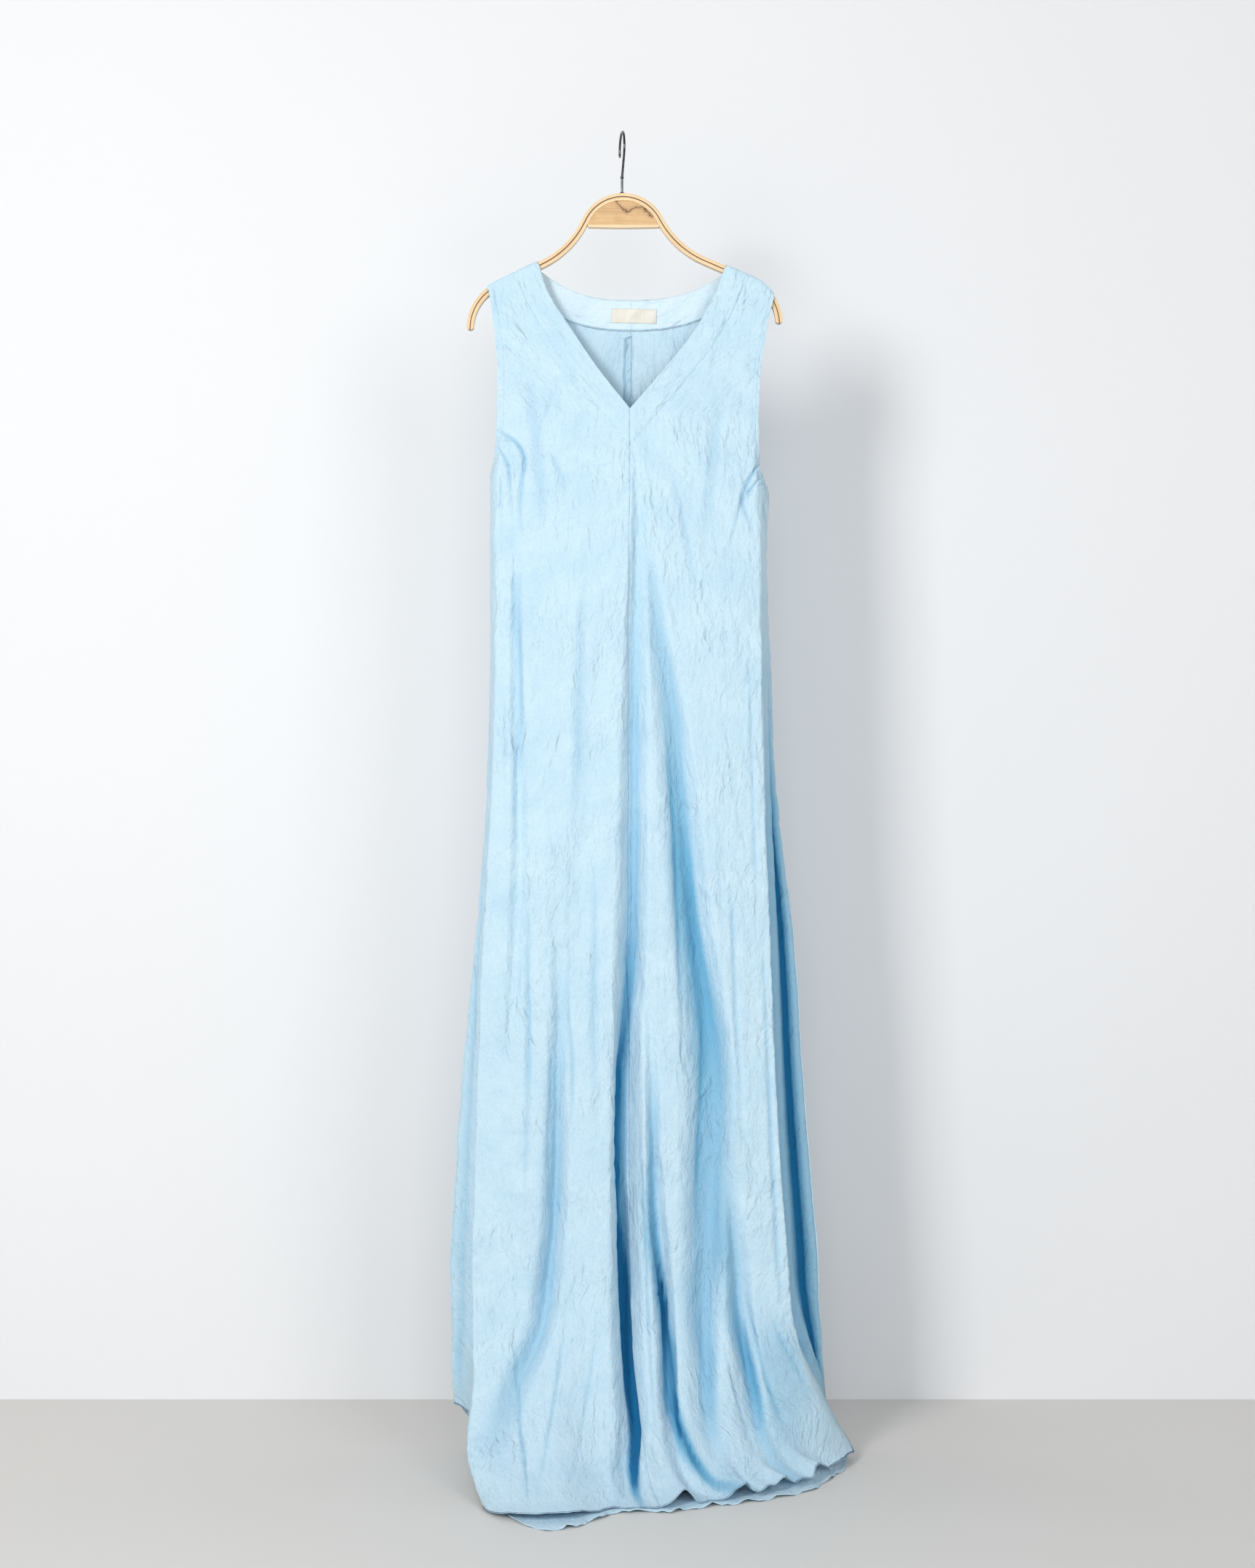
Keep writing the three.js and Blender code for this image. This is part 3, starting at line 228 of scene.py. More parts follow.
LEFT = Side("left", 1, 131.5, 192.0, 360.0, 305.0, 459.0)
LEFT.neck = Table("drop x", (165, 131.5), (200, 119), (250, 92), (300, 53.5), (351, 10))
LEFT.outline = Table(
    OUTLINE,
    (206, 185, 188.5, -9.2, 192, -9), (250, 176, 179.5, -11, 183, -10.8),
    (315, 167, 170.5, -14.8, 174, -14.4), (375, 165, 169, -18, 172.5, -17), (425, 166, 171, -18, 175, -13),
    (459, 170, 178, -16, 186, 0), (530, 172, 178, -17, 184, 2), (660, 174, 179, -14, 188, 4),
    (840, 178, 182, -12, 197, 6), (1030, 186, 184, -4, 219, 12), (1210, 193, 188, 0, 231, 16),
    (1430, 208, 200, 4, 249, 20),
)
LEFT.front_hem = Table(
    HEM_COLUMNS,
    (0, 46, -238, 6, 1, 110), (0.2, 98, -214, 6, 1, 100), (0.42, 172, -184, 6, 1, 100),
    (0.6, 226, -140, 6, 0.9, 90), (0.74, 264, -76, 6, 0.7, 80),
    (EDGE_U, 292, -12, 6, 0.5, 70),
    (0.92, 262, 12, 56, 0.2, 60), (1, 258, 30, 80, 0, 50),
)
LEFT.back_hem = Table(
    HEM_COLUMNS,
    (0, 44, -246, 0.7, 1, 190), (0.2, 99, -222, 0.7, 1, 180), (0.42, 175, -191, 0.7, 1, 160),
    (0.6, 230, -145, 0.7, 0.9, 130), (0.74, 268, -72, 0.7, 0.8, 100),
    (EDGE_U, 284, 14, 6, 0.5, 80),
    (0.92, 256, 52, 52, 0.1, 60), (1, 258, 30, 80, 0, 50),
)

# Folds: troughs that run down a layer. across is -1 at its right edge, 0 at the middle seam and 1 at
# its left edge. before and after are the widths to each side of the lowest line.
FOLD = "drop across before after depth"
FRONT_FOLDS = {
    "centre": Table(
        FOLD,
        (405, 0.05, 5, 9, 0), (480, 0.067, 11, 15, 6), (616, 0.045, 15, 19, 13), (767, 0.042, 19, 21, 18),
        (990, 0.027, 22, 22, 24), (1190, -0.013, 23, 24, 29), (1430, -0.018, 23, 24, 31),
        (1590, -0.035, 25, 25, 25), (1670, -0.11, 25, 25, 15), (1760, -0.155, 22, 26, 6),
    ),
    "diagonal": Table(
        FOLD,
        (500, 0.13, 8, 8, 0), (616, 0.22, 20, 16, 7), (767, 0.374, 34, 19, 13), (990, 0.488, 40, 24, 19),
        (1190, 0.588, 50, 28, 23), (1340, 0.52, 40, 26, 21), (1519, 0.458, 28, 22, 17),
        (1590, 0.403, 24, 20, 12), (1650, 0.379, 20, 16, 6), (1740, 0.37, 14, 12, 0),
    ),
    "branch": Table(
        FOLD,
        (1260, 0.64, 12, 12, 0), (1340, 0.66, 17, 16, 7), (1430, 0.69, 19, 18, 14), (1519, 0.7, 22, 19, 18),
        (1590, 0.685, 24, 20, 14), (1650, 0.64, 20, 18, 7), (1720, 0.62, 16, 14, 0),
    ),
    "narrow": Table(
        FOLD,
        (1050, 0.12, 6, 6, 0), (1190, 0.166, 13, 10, 7), (1338, 0.187, 15, 11, 13),
        (1430, 0.214, 16, 12, 17), (1519, 0.224, 17, 12, 18), (1590, 0.2, 17, 13, 16),
        (1650, 0.195, 17, 13, 11), (1760, 0.24, 16, 13, 4),
    ),
    "thigh": Table(
        FOLD,
        (940, -0.5, 7, 7, 0), (1142, -0.456, 17, 14, 9), (1338, -0.464, 22, 16, 17),
        (1430, -0.498, 24, 18, 18), (1484, -0.539, 27, 20, 16), (1572, -0.745, 28, 24, 8),
        (1640, -0.84, 16, 18, 0),
    ),
    "flank": Table(
        FOLD,
        (470, -0.86, 7, 9, 0), (616, -0.86, 9, 11, 5), (843, -0.8, 12, 14, 8), (990, -0.765, 14, 15, 8),
        (1180, -0.8, 10, 12, 0),
    ),
    "soft": Table(
        FOLD,
        (560, -0.15, 14, 12, 0), (767, -0.26, 24, 18, 4), (990, -0.33, 28, 22, 5), (1180, -0.38, 22, 20, 0),
    ),
}
BACK_FOLDS = {
    "middle": Table(
        FOLD,
        (640, 0.16, 12, 12, 0), (900, 0.17, 26, 24, 10), (1250, 0.2, 32, 30, 22), (1430, 0.2, 34, 32, 24),
        (1600, 0.2, 32, 30, 9), (1680, 0.2, 30, 28, 0),
    ),
    "inner": Table(
        FOLD,
        (700, -0.22, 12, 12, 0), (980, -0.25, 26, 26, 9), (1250, -0.29, 32, 30, 19),
        (1430, -0.3, 34, 32, 21), (1600, -0.3, 32, 30, 8), (1680, -0.3, 30, 28, 0),
    ),
    "outer left": Table(
        FOLD,
        (560, 0.7, 12, 12, 0), (900, 0.64, 24, 22, 9), (1250, 0.62, 32, 30, 17), (1430, 0.62, 34, 32, 18),
        (1660, 0.6, 30, 28, 0),
    ),
    "outer right": Table(
        FOLD,
        (620, -0.74, 12, 12, 0), (960, -0.7, 22, 22, 8), (1250, -0.68, 28, 28, 15),
        (1430, -0.68, 30, 30, 16), (1660, -0.66, 28, 28, 0),
    ),
}
FOLD_TAIL = 60.0  # how far below its last row a fold runs on
RUFFLE_FROM = 0.3  # across, and the shares over which the ruffles begin and end
RUFFLE_FADE = 0.15
RUFFLE_END = 0.1
RUFFLE_WAVES = 6
RUFFLE_HEIGHT = 4.5
RUFFLE_HOLD = 4  # how near the hem they keep. More is nearer
HEM_RISE = 6.0  # the crests between folds stand this far off the layer below, at the hem
RISE_HOLD = 3
RISE_END = 0.2

# Creases, finer than the folds: x and drop of a line down the cloth, the widths to its right and left
# as the wearer has them, and how deep it is. A minus depth is a ridge.
CREASE = "step x drop right left depth"


def crease(sharp, *rows):
    """A crease's lines, and how sharp its bottom is from 0, a soft dip, to 1, a hard line."""
    return sharp, Table(CREASE, *[(i, *r) for i, r in enumerate(rows)])


FRONT_CREASES = [
    # from the right armhole in and then down, with a second one under it
    crease(0.8, (-158, 378, 4, 5, 1.6), (-140, 388, 6, 7, 3.2), (-127, 402, 8, 9, 4.0), (-123, 418, 8, 10, 3.6),
           (-126, 444, 8, 10, 2.6), (-128, 480, 8, 9, 1.6), (-124, 520, 7, 8, 0)),
    crease(0.9, (-157, 400, 4, 4, 1.2), (-147, 413, 5, 5, 2.8), (-143, 425, 6, 6, 3.0), (-141, 450, 5, 6, 2.2),
           (-138, 476, 5, 5, 1.2), (-136, 500, 5, 5, 0)),
    crease(0.9, (-156, 388, 3, 3, 0), (-146, 391, 3, 3, 1.4), (-136, 391, 3, 3, 0)),
    crease(0.8, (-155, 432, 3, 3, 0), (-153, 446, 4, 4, 2.2), (-152, 474, 4, 4, 1.6), (-152, 520, 4, 4, 0)),
    crease(0.4, (-148, 446, 5, 5, 0), (-146, 466, 6, 6, -1.6), (-145, 510, 6, 6, -1.0), (-144, 560, 6, 6, 0)),
    # from the left armhole
    crease(0.8, (175, 420, 4, 4, 1.4), (166, 430, 6, 6, 3.4), (158, 446, 8, 8, 3.0), (150, 468, 9, 8, 2.2),
           (141, 500, 9, 9, 1.4), (130, 545, 9, 9, 0)),
    crease(0.9, (174, 438, 4, 4, 1.6), (160, 455, 6, 6, 3.4), (151, 470, 6, 7, 3.2), (156, 484, 6, 6, 2.4),
           (163, 500, 5, 5, 1.2), (166, 520, 4, 4, 0)),
    crease(0.9, (178, 462, 3, 3, 0), (180, 480, 4, 4, 2.4), (183, 500, 4, 4, 1.4), (182, 540, 4, 4, 0)),
    crease(0.7, (172, 448, 3, 3, 0), (166, 462, 5, 4, -1.6), (168, 484, 4, 4, -1.2), (172, 510, 4, 4, 0)),
    # soft hollows down the chest, and pulls from the bust to the shoulders
    crease(0.2, (-118, 300, 12, 12, 0), (-112, 360, 14, 16, 1.2), (-104, 430, 16, 16, 1.4),
           (-98, 520, 14, 14, 0)),
    crease(0.3, (-92, 402, 5, 5, 0), (-84, 418, 7, 7, 1.3), (-74, 440, 8, 8, 1.0), (-66, 470, 7, 7, 0)),
    crease(0.3, (-72, 300, 5, 5, 0), (-92, 345, 7, 7, 0.9), (-102, 380, 7, 7, 0)),
    crease(0.2, (120, 300, 12, 12, 0), (118, 370, 16, 14, 1.2), (112, 440, 16, 14, 1.4), (104, 530, 14, 14, 0)),
    crease(0.3, (60, 420, 6, 6, 0), (72, 470, 10, 8, 1.2), (84, 530, 10, 9, 1.4), (93, 600, 9, 8, 0)),
    crease(0.3, (-46, 560, 8, 8, 0), (-52, 640, 14, 12, 1.6), (-54, 760, 14, 14, 1.8), (-58, 880, 12, 12, 0)),
    # the right side of the skirt
    crease(0.5, (-132, 540, 5, 6, 0), (-133, 600, 9, 10, 2.2), (-130, 650, 8, 9, 2.6), (-128, 730, 8, 9, 2.2),
           (-131, 800, 7, 8, 1.6), (-134, 880, 7, 7, 0)),
    crease(0.7, (-148, 700, 4, 4, 0), (-146, 760, 5, 5, 1.2), (-148, 850, 5, 5, 0)),
    crease(0.6, (-116, 960, 6, 6, 0), (-118, 1040, 10, 8, 2.0), (-116, 1140, 10, 9, 2.4),
           (-118, 1250, 9, 8, 1.6), (-122, 1360, 8, 7, 0)),
    crease(0.6, (-66, 1010, 6, 6, 0), (-68, 1100, 9, 8, 1.8), (-62, 1180, 9, 9, 2.2), (-66, 1270, 8, 8, 0)),
    crease(0.7, (-92, 1120, 4, 4, 0), (-88, 1180, 6, 5, 1.4), (-90, 1250, 6, 5, 1.0), (-94, 1310, 4, 4, 0)),
    crease(0.5, (-36, 900, 8, 8, 0), (-34, 1010, 12, 10, 1.6), (-36, 1130, 12, 12, 1.8),
           (-30, 1280, 10, 10, 0)),
    # the sharp lip on the right of the middle fold
    crease(0.8, (-5, 700, 3, 4, 0), (-7, 840, 4, 6, -1.0), (-11, 950, 4, 7, -1.7), (-13, 1060, 4, 7, -2.0),
           (-12, 1180, 4, 7, -1.6), (-16, 1330, 4, 7, -1.2), (-15, 1460, 4, 6, 0)),
    # beside the diagonal fold
    crease(0.6, (52, 720, 6, 5, 0), (60, 800, 9, 6, 1.6), (66, 880, 10, 7, 2.4), (70, 980, 10, 7, 2.6),
           (74, 1090, 9, 7, 2.0), (78, 1200, 8, 7, 0)),
    crease(0.8, (126, 730, 2, 3, 0), (131, 772, 3, 4, 1.2), (138, 806, 3, 4, 1.0), (141, 850, 3, 3, 0)),
    crease(0.6, (134, 940, 5, 5, 0), (139, 1010, 8, 7, 2.0), (142, 1110, 8, 7, 2.2), (147, 1200, 7, 7, 1.4),
           (150, 1290, 6, 6, 0)),
    crease(0.7, (118, 890, 4, 4, 0), (122, 950, 5, 5, 1.2), (126, 1010, 4, 4, 0)),
    crease(0.7, (160, 640, 5, 5, 0), (162, 760, 7, 6, 1.4), (166, 880, 7, 6, 1.6), (170, 1000, 6, 6, 0)),
    crease(0.6, (176, 1000, 5, 6, 0), (180, 1120, 6, 8, 2.0), (186, 1260, 7, 8, 2.6), (193, 1400, 7, 8, 2.2),
           (200, 1500, 6, 7, 0)),
    crease(0.5, (104, 1080, 6, 6, 0), (100, 1180, 9, 8, 1.6), (96, 1290, 9, 9, 1.8), (92, 1400, 8, 8, 0)),
    # below the knee
    crease(0.8, (-6, 1350, 3, 3, 0), (-4, 1420, 4, 4, 1.6), (2, 1490, 5, 4, 2.0), (6, 1560, 4, 4, 0)),
    crease(0.6, (20, 1230, 4, 4, 0), (24, 1330, 6, 6, 2.0), (30, 1430, 7, 6, 2.4), (36, 1540, 6, 6, 1.6),
           (40, 1620, 5, 5, 0)),
    crease(0.6, (60, 1420, 5, 5, 0), (64, 1500, 7, 6, 2.2), (66, 1600, 7, 7, 2.0), (72, 1680, 6, 6, 0)),
    crease(0.6, (150, 1440, 5, 5, 0), (166, 1520, 8, 6, 2.4), (186, 1600, 8, 7, 2.2), (206, 1670, 6, 6, 0)),
    crease(0.7, (122, 1500, 4, 4, 0), (136, 1560, 6, 5, 1.8), (152, 1620, 6, 5, 1.6), (166, 1690, 5, 5, 0)),
    crease(0.7, (180, 1480, 4, 4, 0), (202, 1540, 6, 6, 2.0), (226, 1600, 6, 6, 1.6), (240, 1660, 5, 5, 0)),
    crease(0.7, (-134, 1500, 4, 5, 0), (-128, 1560, 6, 6, 1.8), (-118, 1640, 6, 6, 1.6), (-110, 1700, 5, 5, 0)),
    crease(0.7, (-70, 1480, 5, 5, 0), (-78, 1550, 7, 6, 2.0), (-90, 1630, 7, 6, 1.8), (-98, 1700, 6, 6, 0)),
    crease(0.8, (-132, 1570, 4, 4, 0), (-124, 1610, 6, 5, 2.2), (-114, 1660, 6, 5, 2.0),
           (-108, 1740, 5, 5, 0.6)),
    crease(0.7, (-30, 1490, 4, 4, 0), (-40, 1560, 6, 6, 1.6), (-52, 1640, 6, 6, 1.4), (-60, 1700, 5, 5, 0)),
    # press marks across the right side
    crease(0.7, (-172, 1252, 2, 3, 0), (-140, 1257, 3, 4, 0.9), (-100, 1260, 3, 4, 0.7), (-70, 1262, 3, 3, 0)),
    crease(0.7, (-182, 1328, 2, 3, 0), (-150, 1334, 3, 4, 0.8), (-116, 1337, 3, 4, 0.7), (-86, 1338, 3, 3, 0)),
    # small dents, none alike
    crease(0.6, (-60, 702, 3, 3, 0), (-48, 716, 4, 4, 0.8), (-40, 738, 3, 3, 0)),
    crease(0.6, (-96, 880, 3, 3, 0), (-86, 904, 4, 4, 1.0), (-82, 930, 3, 3, 0)),
    crease(0.6, (86, 1008, 3, 3, 0), (92, 1030, 4, 4, 1.0), (90, 1062, 3, 3, 0)),
    crease(0.6, (-24, 1180, 3, 3, 0), (-28, 1204, 4, 4, 1.1), (-24, 1236, 3, 3, 0)),
    crease(0.6, (60, 640, 3, 3, 0), (54, 662, 4, 4, 0.7), (56, 690, 3, 3, 0)),
]
BACK_CREASES = [
    crease(0.8, (-156, 340, 4, 5, 1.6), (-140, 366, 6, 7, 3.0), (-130, 400, 8, 9, 3.2), (-128, 450, 8, 9, 2.0),
           (-130, 520, 7, 8, 0)),
    crease(0.8, (176, 380, 4, 4, 1.4), (160, 410, 6, 6, 3.0), (148, 452, 8, 8, 2.4), (140, 520, 8, 8, 0)),
    crease(0.3, (-70, 320, 12, 12, 0), (-74, 420, 16, 14, 1.8), (-70, 560, 16, 16, 1.6), (-66, 700, 12, 12, 0)),
    crease(0.3, (84, 330, 12, 12, 0), (88, 440, 16, 14, 1.8), (94, 580, 16, 16, 1.8), (100, 740, 12, 12, 0)),
    crease(0.5, (-112, 600, 7, 7, 0), (-110, 720, 10, 10, 2.4), (-116, 860, 10, 10, 2.2), (-120, 980, 8, 8, 0)),
    crease(0.5, (26, 560, 7, 7, 0), (30, 700, 10, 9, 2.0), (26, 860, 10, 10, 2.2), (30, 1000, 8, 8, 0)),
    crease(0.6, (130, 760, 6, 6, 0), (134, 880, 9, 8, 2.2), (140, 1010, 9, 8, 2.0), (144, 1140, 7, 7, 0)),
    crease(0.5, (-30, 900, 7, 7, 0), (-26, 1040, 10, 9, 2.2), (-30, 1180, 10, 10, 2.0), (-28, 1330, 8, 8, 0)),
    crease(0.6, (-150, 1040, 6, 6, 0), (-152, 1160, 9, 8, 2.2), (-156, 1280, 9, 8, 1.8), (-160, 1380, 6, 6, 0)),
    crease(0.6, (84, 1100, 6, 6, 0), (80, 1220, 9, 8, 2.2), (84, 1350, 8, 8, 1.8), (88, 1470, 6, 6, 0)),
    crease(0.6, (186, 1120, 6, 6, 0), (192, 1240, 9, 8, 2.2), (200, 1370, 8, 8, 1.8), (206, 1480, 6, 6, 0)),
    crease(0.7, (-40, 640, 4, 4, 0), (-34, 700, 6, 5, 1.2), (-38, 770, 4, 4, 0)),
    crease(0.7, (60, 820, 4, 4, 0), (54, 880, 6, 5, 1.2), (56, 950, 4, 4, 0)),
    crease(0.7, (-90, 1180, 4, 4, 0), (-84, 1240, 6, 5, 1.4), (-88, 1310, 4, 4, 0)),
    crease(0.7, (-160, 1262, 3, 3, 0), (-110, 1268, 4, 4, 0.9), (-60, 1270, 3, 3, 0)),
    crease(0.7, (70, 1330, 3, 3, 0), (120, 1336, 4, 4, 0.8), (160, 1338, 3, 3, 0)),
]
CREASE_STEPS = 4  # straight runs between two rows of a crease
SHARP_WIDTH, SHARP_DEPTH = 0.55, 1.25  # of a hard crease, as shares of a soft one's
FAR, NOT_ZERO = 1e9, 1e-6

# Gathers under each arm, from one drop to another, in from the edge
GATHERS_FROM = {"right": 398.0, "left": 424.0}
GATHERS_TO = {"right": 445.0, "left": 470.0}
GATHERS_WIDTH, GATHERS_PITCH, GATHERS_HEIGHT = 11.0, 4.4, 0.75
# How much each front fold has of a steep bottom, and its place to the wearer's left of the lowest line
CORE = "drop share shift"
CORES = {
    "centre": Table(CORE, (600, 0.05, 0), (1000, 0.14, 1), (1250, 0.6, -8), (1390, 1, -4), (1560, 1, 0),
                    (1660, 0.9, 6), (1740, 0.6, 8)),
    "narrow": Table(CORE, (1150, 0.1, 0), (1250, 0.3, -2), (1386, 0.7, -7), (1472, 1, -1), (1562, 0.5, -2),
                    (1660, 0.7, 14), (1740, 0.6, 26)),
    "branch": Table(CORE, (1300, 0.2, 0), (1450, 0.4, -5), (1600, 0.6, 4)),
    "diagonal": Table(CORE, (640, 0.1, 0), (843, 0.35, -5), (1115, 0.35, -4), (1250, 0, -6), (1450, 0.1, -4),
                      (1562, 0.4, 0), (1700, 0.2, 0)),
    "thigh": Table(CORE, (1000, 0.1, -2), (1250, 0.45, -2), (1450, 0.4, -2), (1600, 0.2, -2)),
}
# Painted shade in the front's deep folds, the darker, bluer colour of cloth that is shaded and lit by itself
# there: the place beside a front fold's lowest line, how far the painted shade reaches to its right and left
# as they are seen in front, and how deep it is
SHADE = "drop shift before after dark"
SHADES = (
    ("centre", Table(SHADE, (480, -2, 6, 10, 0), (700, 1, 9, 9, 0.24), (979, 2, 12, 9, 0.4),
                     (1115, -4, 11, 12, 0.7), (1250, -9, 6, 12, 1), (1386, -4, 10, 7, 1), (1562, 1, 9, 9, 1),
                     (1660, 4, 9, 9, 1), (1740, 7, 7, 8, 0.4))),
    ("narrow", Table(SHADE, (1150, 0, 10, 8, 0), (1251, -2, 12, 8, 0.35), (1386, -6, 20, 7, 0.7),
                     (1472, -1, 13, 8, 0.92), (1562, 2, 14, 10, 0.8), (1660, 15, 13, 9, 0.88),
                     (1740, 27, 10, 8, 0.4))),
    ("diagonal", Table(SHADE, (520, -2, 10, 10, 0), (571, -2, 12, 12, 0.2), (707, -1, 26, 13, 0.35),
                       (843, -6, 28, 14, 0.5), (979, -4, 36, 10, 0.74), (1115, -4, 36, 24, 0.62),
                       (1251, -6, 38, 44, 0.42), (1386, 0, 40, 44, 0.4), (1472, -6, 32, 26, 0.38),
                       (1562, 5, 18, 14, 0.45), (1660, 6, 16, 14, 0.12))),
    ("branch", Table(SHADE, (1300, 0, 20, 14, 0), (1386, -6, 26, 14, 0.25), (1472, -6, 24, 11, 0.45),
                     (1562, 6, 18, 9, 0.68), (1660, 10, 14, 10, 0.3))),
    ("branch", Table(SHADE, (1472, 20, 20, 30, 0), (1562, 32, 24, 60, 0.3), (1660, 32, 24, 44, 0.22),
                     (1740, 32, 20, 30, 0))),
    ("thigh", Table(SHADE, (1000, 0, 14, 10, 0), (1251, -2, 24, 10, 0.28), (1386, -2, 28, 9, 0.3),
                    (1472, -2, 26, 14, 0.28), (1562, -6, 26, 30, 0.25), (1700, -6, 20, 20, 0))),
)
CORE_BEFORE, CORE_AFTER = 0.3, 0.35  # a core's widths, as shares of its fold's
CORE_DEEPER = 0.5
SHADE_FULL, SHADE_POWER = 1.4, 1.3  # how soon inside its reach a shade is full, and how it fades out
VALLEY_U, LIP_U = 0.965, 0.942  # on the flaps outside the front's pressed edges
VALLEY_WIDTH, LIP_WIDTH = 0.009, 0.009
VALLEY_DEPTH = {"right": 3.0, "left": 13.0}
LIP_HEIGHT = {"right": 1.0, "left": 4.0}
SEAM_GROOVE = 0.9
SEAM_WIDTH = 2.2
STITCH_IN = 30.0  # the neck's top stitching, from the neckline
ARM_STITCH_IN = 9.0
NECK_STITCH_SUNK = 0.5
STITCH_WIDTH = 2.4
NECK_GROOVE, ARM_GROOVE = 0.8, 0.45
BAND_RAISED = 0.7
PUCKER_HEIGHT, PUCKER_PITCH, PUCKER_WIDTH = 0.75, 8.3, 8.0
STRAP_PUCKER = 0.32
# The ridges of washed linen: spacing across and along them, the slice of the noise, power and height
RIDGES = {
    "right": (13, 52, 7.7, 3, 1.0),
    "straight": (11, 60, 1.3, 4, 1.4),
    "left": (19, 44, 4.2, 5, 1.8),
}
RIDGE_COS, RIDGE_SIN = 0.77, 0.64  # of the slanting ridges' turn
BROAD_HEIGHT = 1.25
ALLOWANCE_U = 0.05  # how much of a panel's width the seam allowance covers
ALLOWANCE_FROM = 0.165  # in rows, below the point of the neck
BACK_PATTERN = 3.0  # metres between the weave's places on the front and on the back
CARRIED_ON = 20


# Form of the cloth


def bow_line(offset, arch=10, neck=8, tip=12):
    """The bow's outline, offset from its centre line: points (x, z) from the right tip to the left."""
    points = []
    place = [0.0, APEX]
    turned = 0.0

    def add():
        points.append((place[0] + offset * math.sin(turned), place[1] + offset * math.cos(turned)))

    def arc(radius, to, count):
        nonlocal turned
        start = turned
        for i in range(1, count + 1):
            turn = lerp(start, to, i / count)
            place[0] += radius * abs(math.sin(turn) - math.sin(turned))
            place[1] -= radius * abs(math.cos(turn) - math.cos(turned))
            turned = turn
            add()

    def straight(length):
        place[0] += length * math.cos(turned)
        place[1] -= length * math.sin(turned)
        add()

    add()
    arc(ARCH_RADIUS, FLANK_ANGLE, arch)
    straight(FLANK_LENGTH)
    arc(NECK_RADIUS, SHOULDER_ANGLE, neck)
    straight(SHOULDER_LENGTH)
    arc(TIP_RADIUS, TIP_ANGLE, tip)
    straight(TIP_LENGTH)
    half = np.array(points)
    whole = np.concatenate([(half[1:] * (-1, 1))[::-1], half])
    c, s = math.cos(BOW_TILT), math.sin(BOW_TILT)
    x, z = whole[:, 0], whole[:, 1] - APEX
    return np.stack([x * c - z * s, APEX + x * s + z * c], -1)


STRAP_LINE = bow_line(BOW_HALF + STRAP_REST + SOLID_CLOTH / 2)


def strap_drop(x):
    """The drop of the cloth's middle where it lies on top of the bow."""
    return -np.interp(x, STRAP_LINE[:, 0], STRAP_LINE[:, 1])


def half_width(drop):
    return (LEFT.outline.read("edgeX", drop) - RIGHT.outline.read("edgeX", drop)) / 2


def fold_depth(folds, across, drop):
    width = half_width(np.minimum(drop, KNEE_DROP))
    total = np.zeros(np.broadcast(across, drop).shape)
    for fold in folds.values():
        off = (across - fold.read("across", drop)) * width
        reach = np.where(off < 0, fold.read("before", drop), fold.read("after", drop))
        inside = (np.abs(off) < reach) & (drop > fold.keys[0]) & (drop < fold.keys[-1] + FOLD_TAIL)
        bell = fold.read("depth", drop) * (1 + np.cos(math.pi * off / reach)) / 2
        total += np.where(inside, bell, 0)
    return total


def core_depth(across, drop):
    """The narrow, steep bottoms of the front's folds."""
    width = half_width(np.minimum(drop, KNEE_DROP))
    total = np.zeros(across.shape)
    for name, core in CORES.items():
        fold = FRONT_FOLDS[name]
        off = (across - fold.read("across", drop)) * width - core.read("shift", drop)
        reach = np.where(off < 0, CORE_BEFORE * fold.read("before", drop),
                         CORE_AFTER * fold.read("after", drop))
        bell = (1 + np.cos(math.pi * np.clip(off / reach, -1, 1))) / 2
        depth = bell * core.read("share", drop) * fold.read("depth", drop)
        total += np.where(drop < fold.keys[-1] + FOLD_TAIL, depth, 0)
    return np.where(np.abs(across) < 1, total, 0)


def fold_shade(across, drop):
    """0 to 1: how much painted shade the front's folds get, for cloth that is shaded and lit by itself there.
    """
    width = half_width(np.minimum(drop, KNEE_DROP))
    left_over = np.ones(across.shape)
    for name, shade in SHADES:
        off = (across - FRONT_FOLDS[name].read("across", drop)) * width - shade.read("shift", drop)
        near = 1 - np.abs(off) / np.where(off < 0, shade.read("before", drop), shade.read("after", drop))
        left_over *= 1 - shade.read("dark", drop) * np.clip(near * SHADE_FULL, 0, 1) ** SHADE_POWER
    return np.where(np.abs(across) < 1, 1 - left_over, 0)


def pressed(back, across, drop):
    """How far the folds press a layer in, with the ruffles and the rise off the floor near the hem."""
    if back:
        return fold_depth(BACK_FOLDS, across, drop)
    near = np.clip((drop - KNEE_DROP) / SWEEP, 0, 1)
    begun = np.clip((across - RUFFLE_FROM) / RUFFLE_FADE, 0, 1)
    left = np.clip((1 - across) / RUFFLE_END, 0, 1)
    wave = np.sin(2 * math.pi * RUFFLE_WAVES * (across - RUFFLE_FROM))
    ruffle = RUFFLE_HEIGHT * begun * left * near ** RUFFLE_HOLD * (1 + wave)
    rise = HEM_RISE * near ** RISE_HOLD
    edges = np.clip((1 - np.abs(across)) / RISE_END, 0, 1)
    return fold_depth(FRONT_FOLDS, across, drop) - (rise + ruffle) * edges


def layer_y(back, across, drop):
    crown = MIDDLE.read("crown", drop) * across * across
    return MIDDLE.read("backY", drop) - crown if back else MIDDLE.read("frontY", drop) + crown


def middle_x(back, drop):
    return MIDDLE.read("backX" if back else "frontX", drop)


def across_at(side, back, x, drop):
    middle = middle_x(back, drop)
    return side.sign * (x - middle) / (side.outline.read("edgeX", drop) - middle)


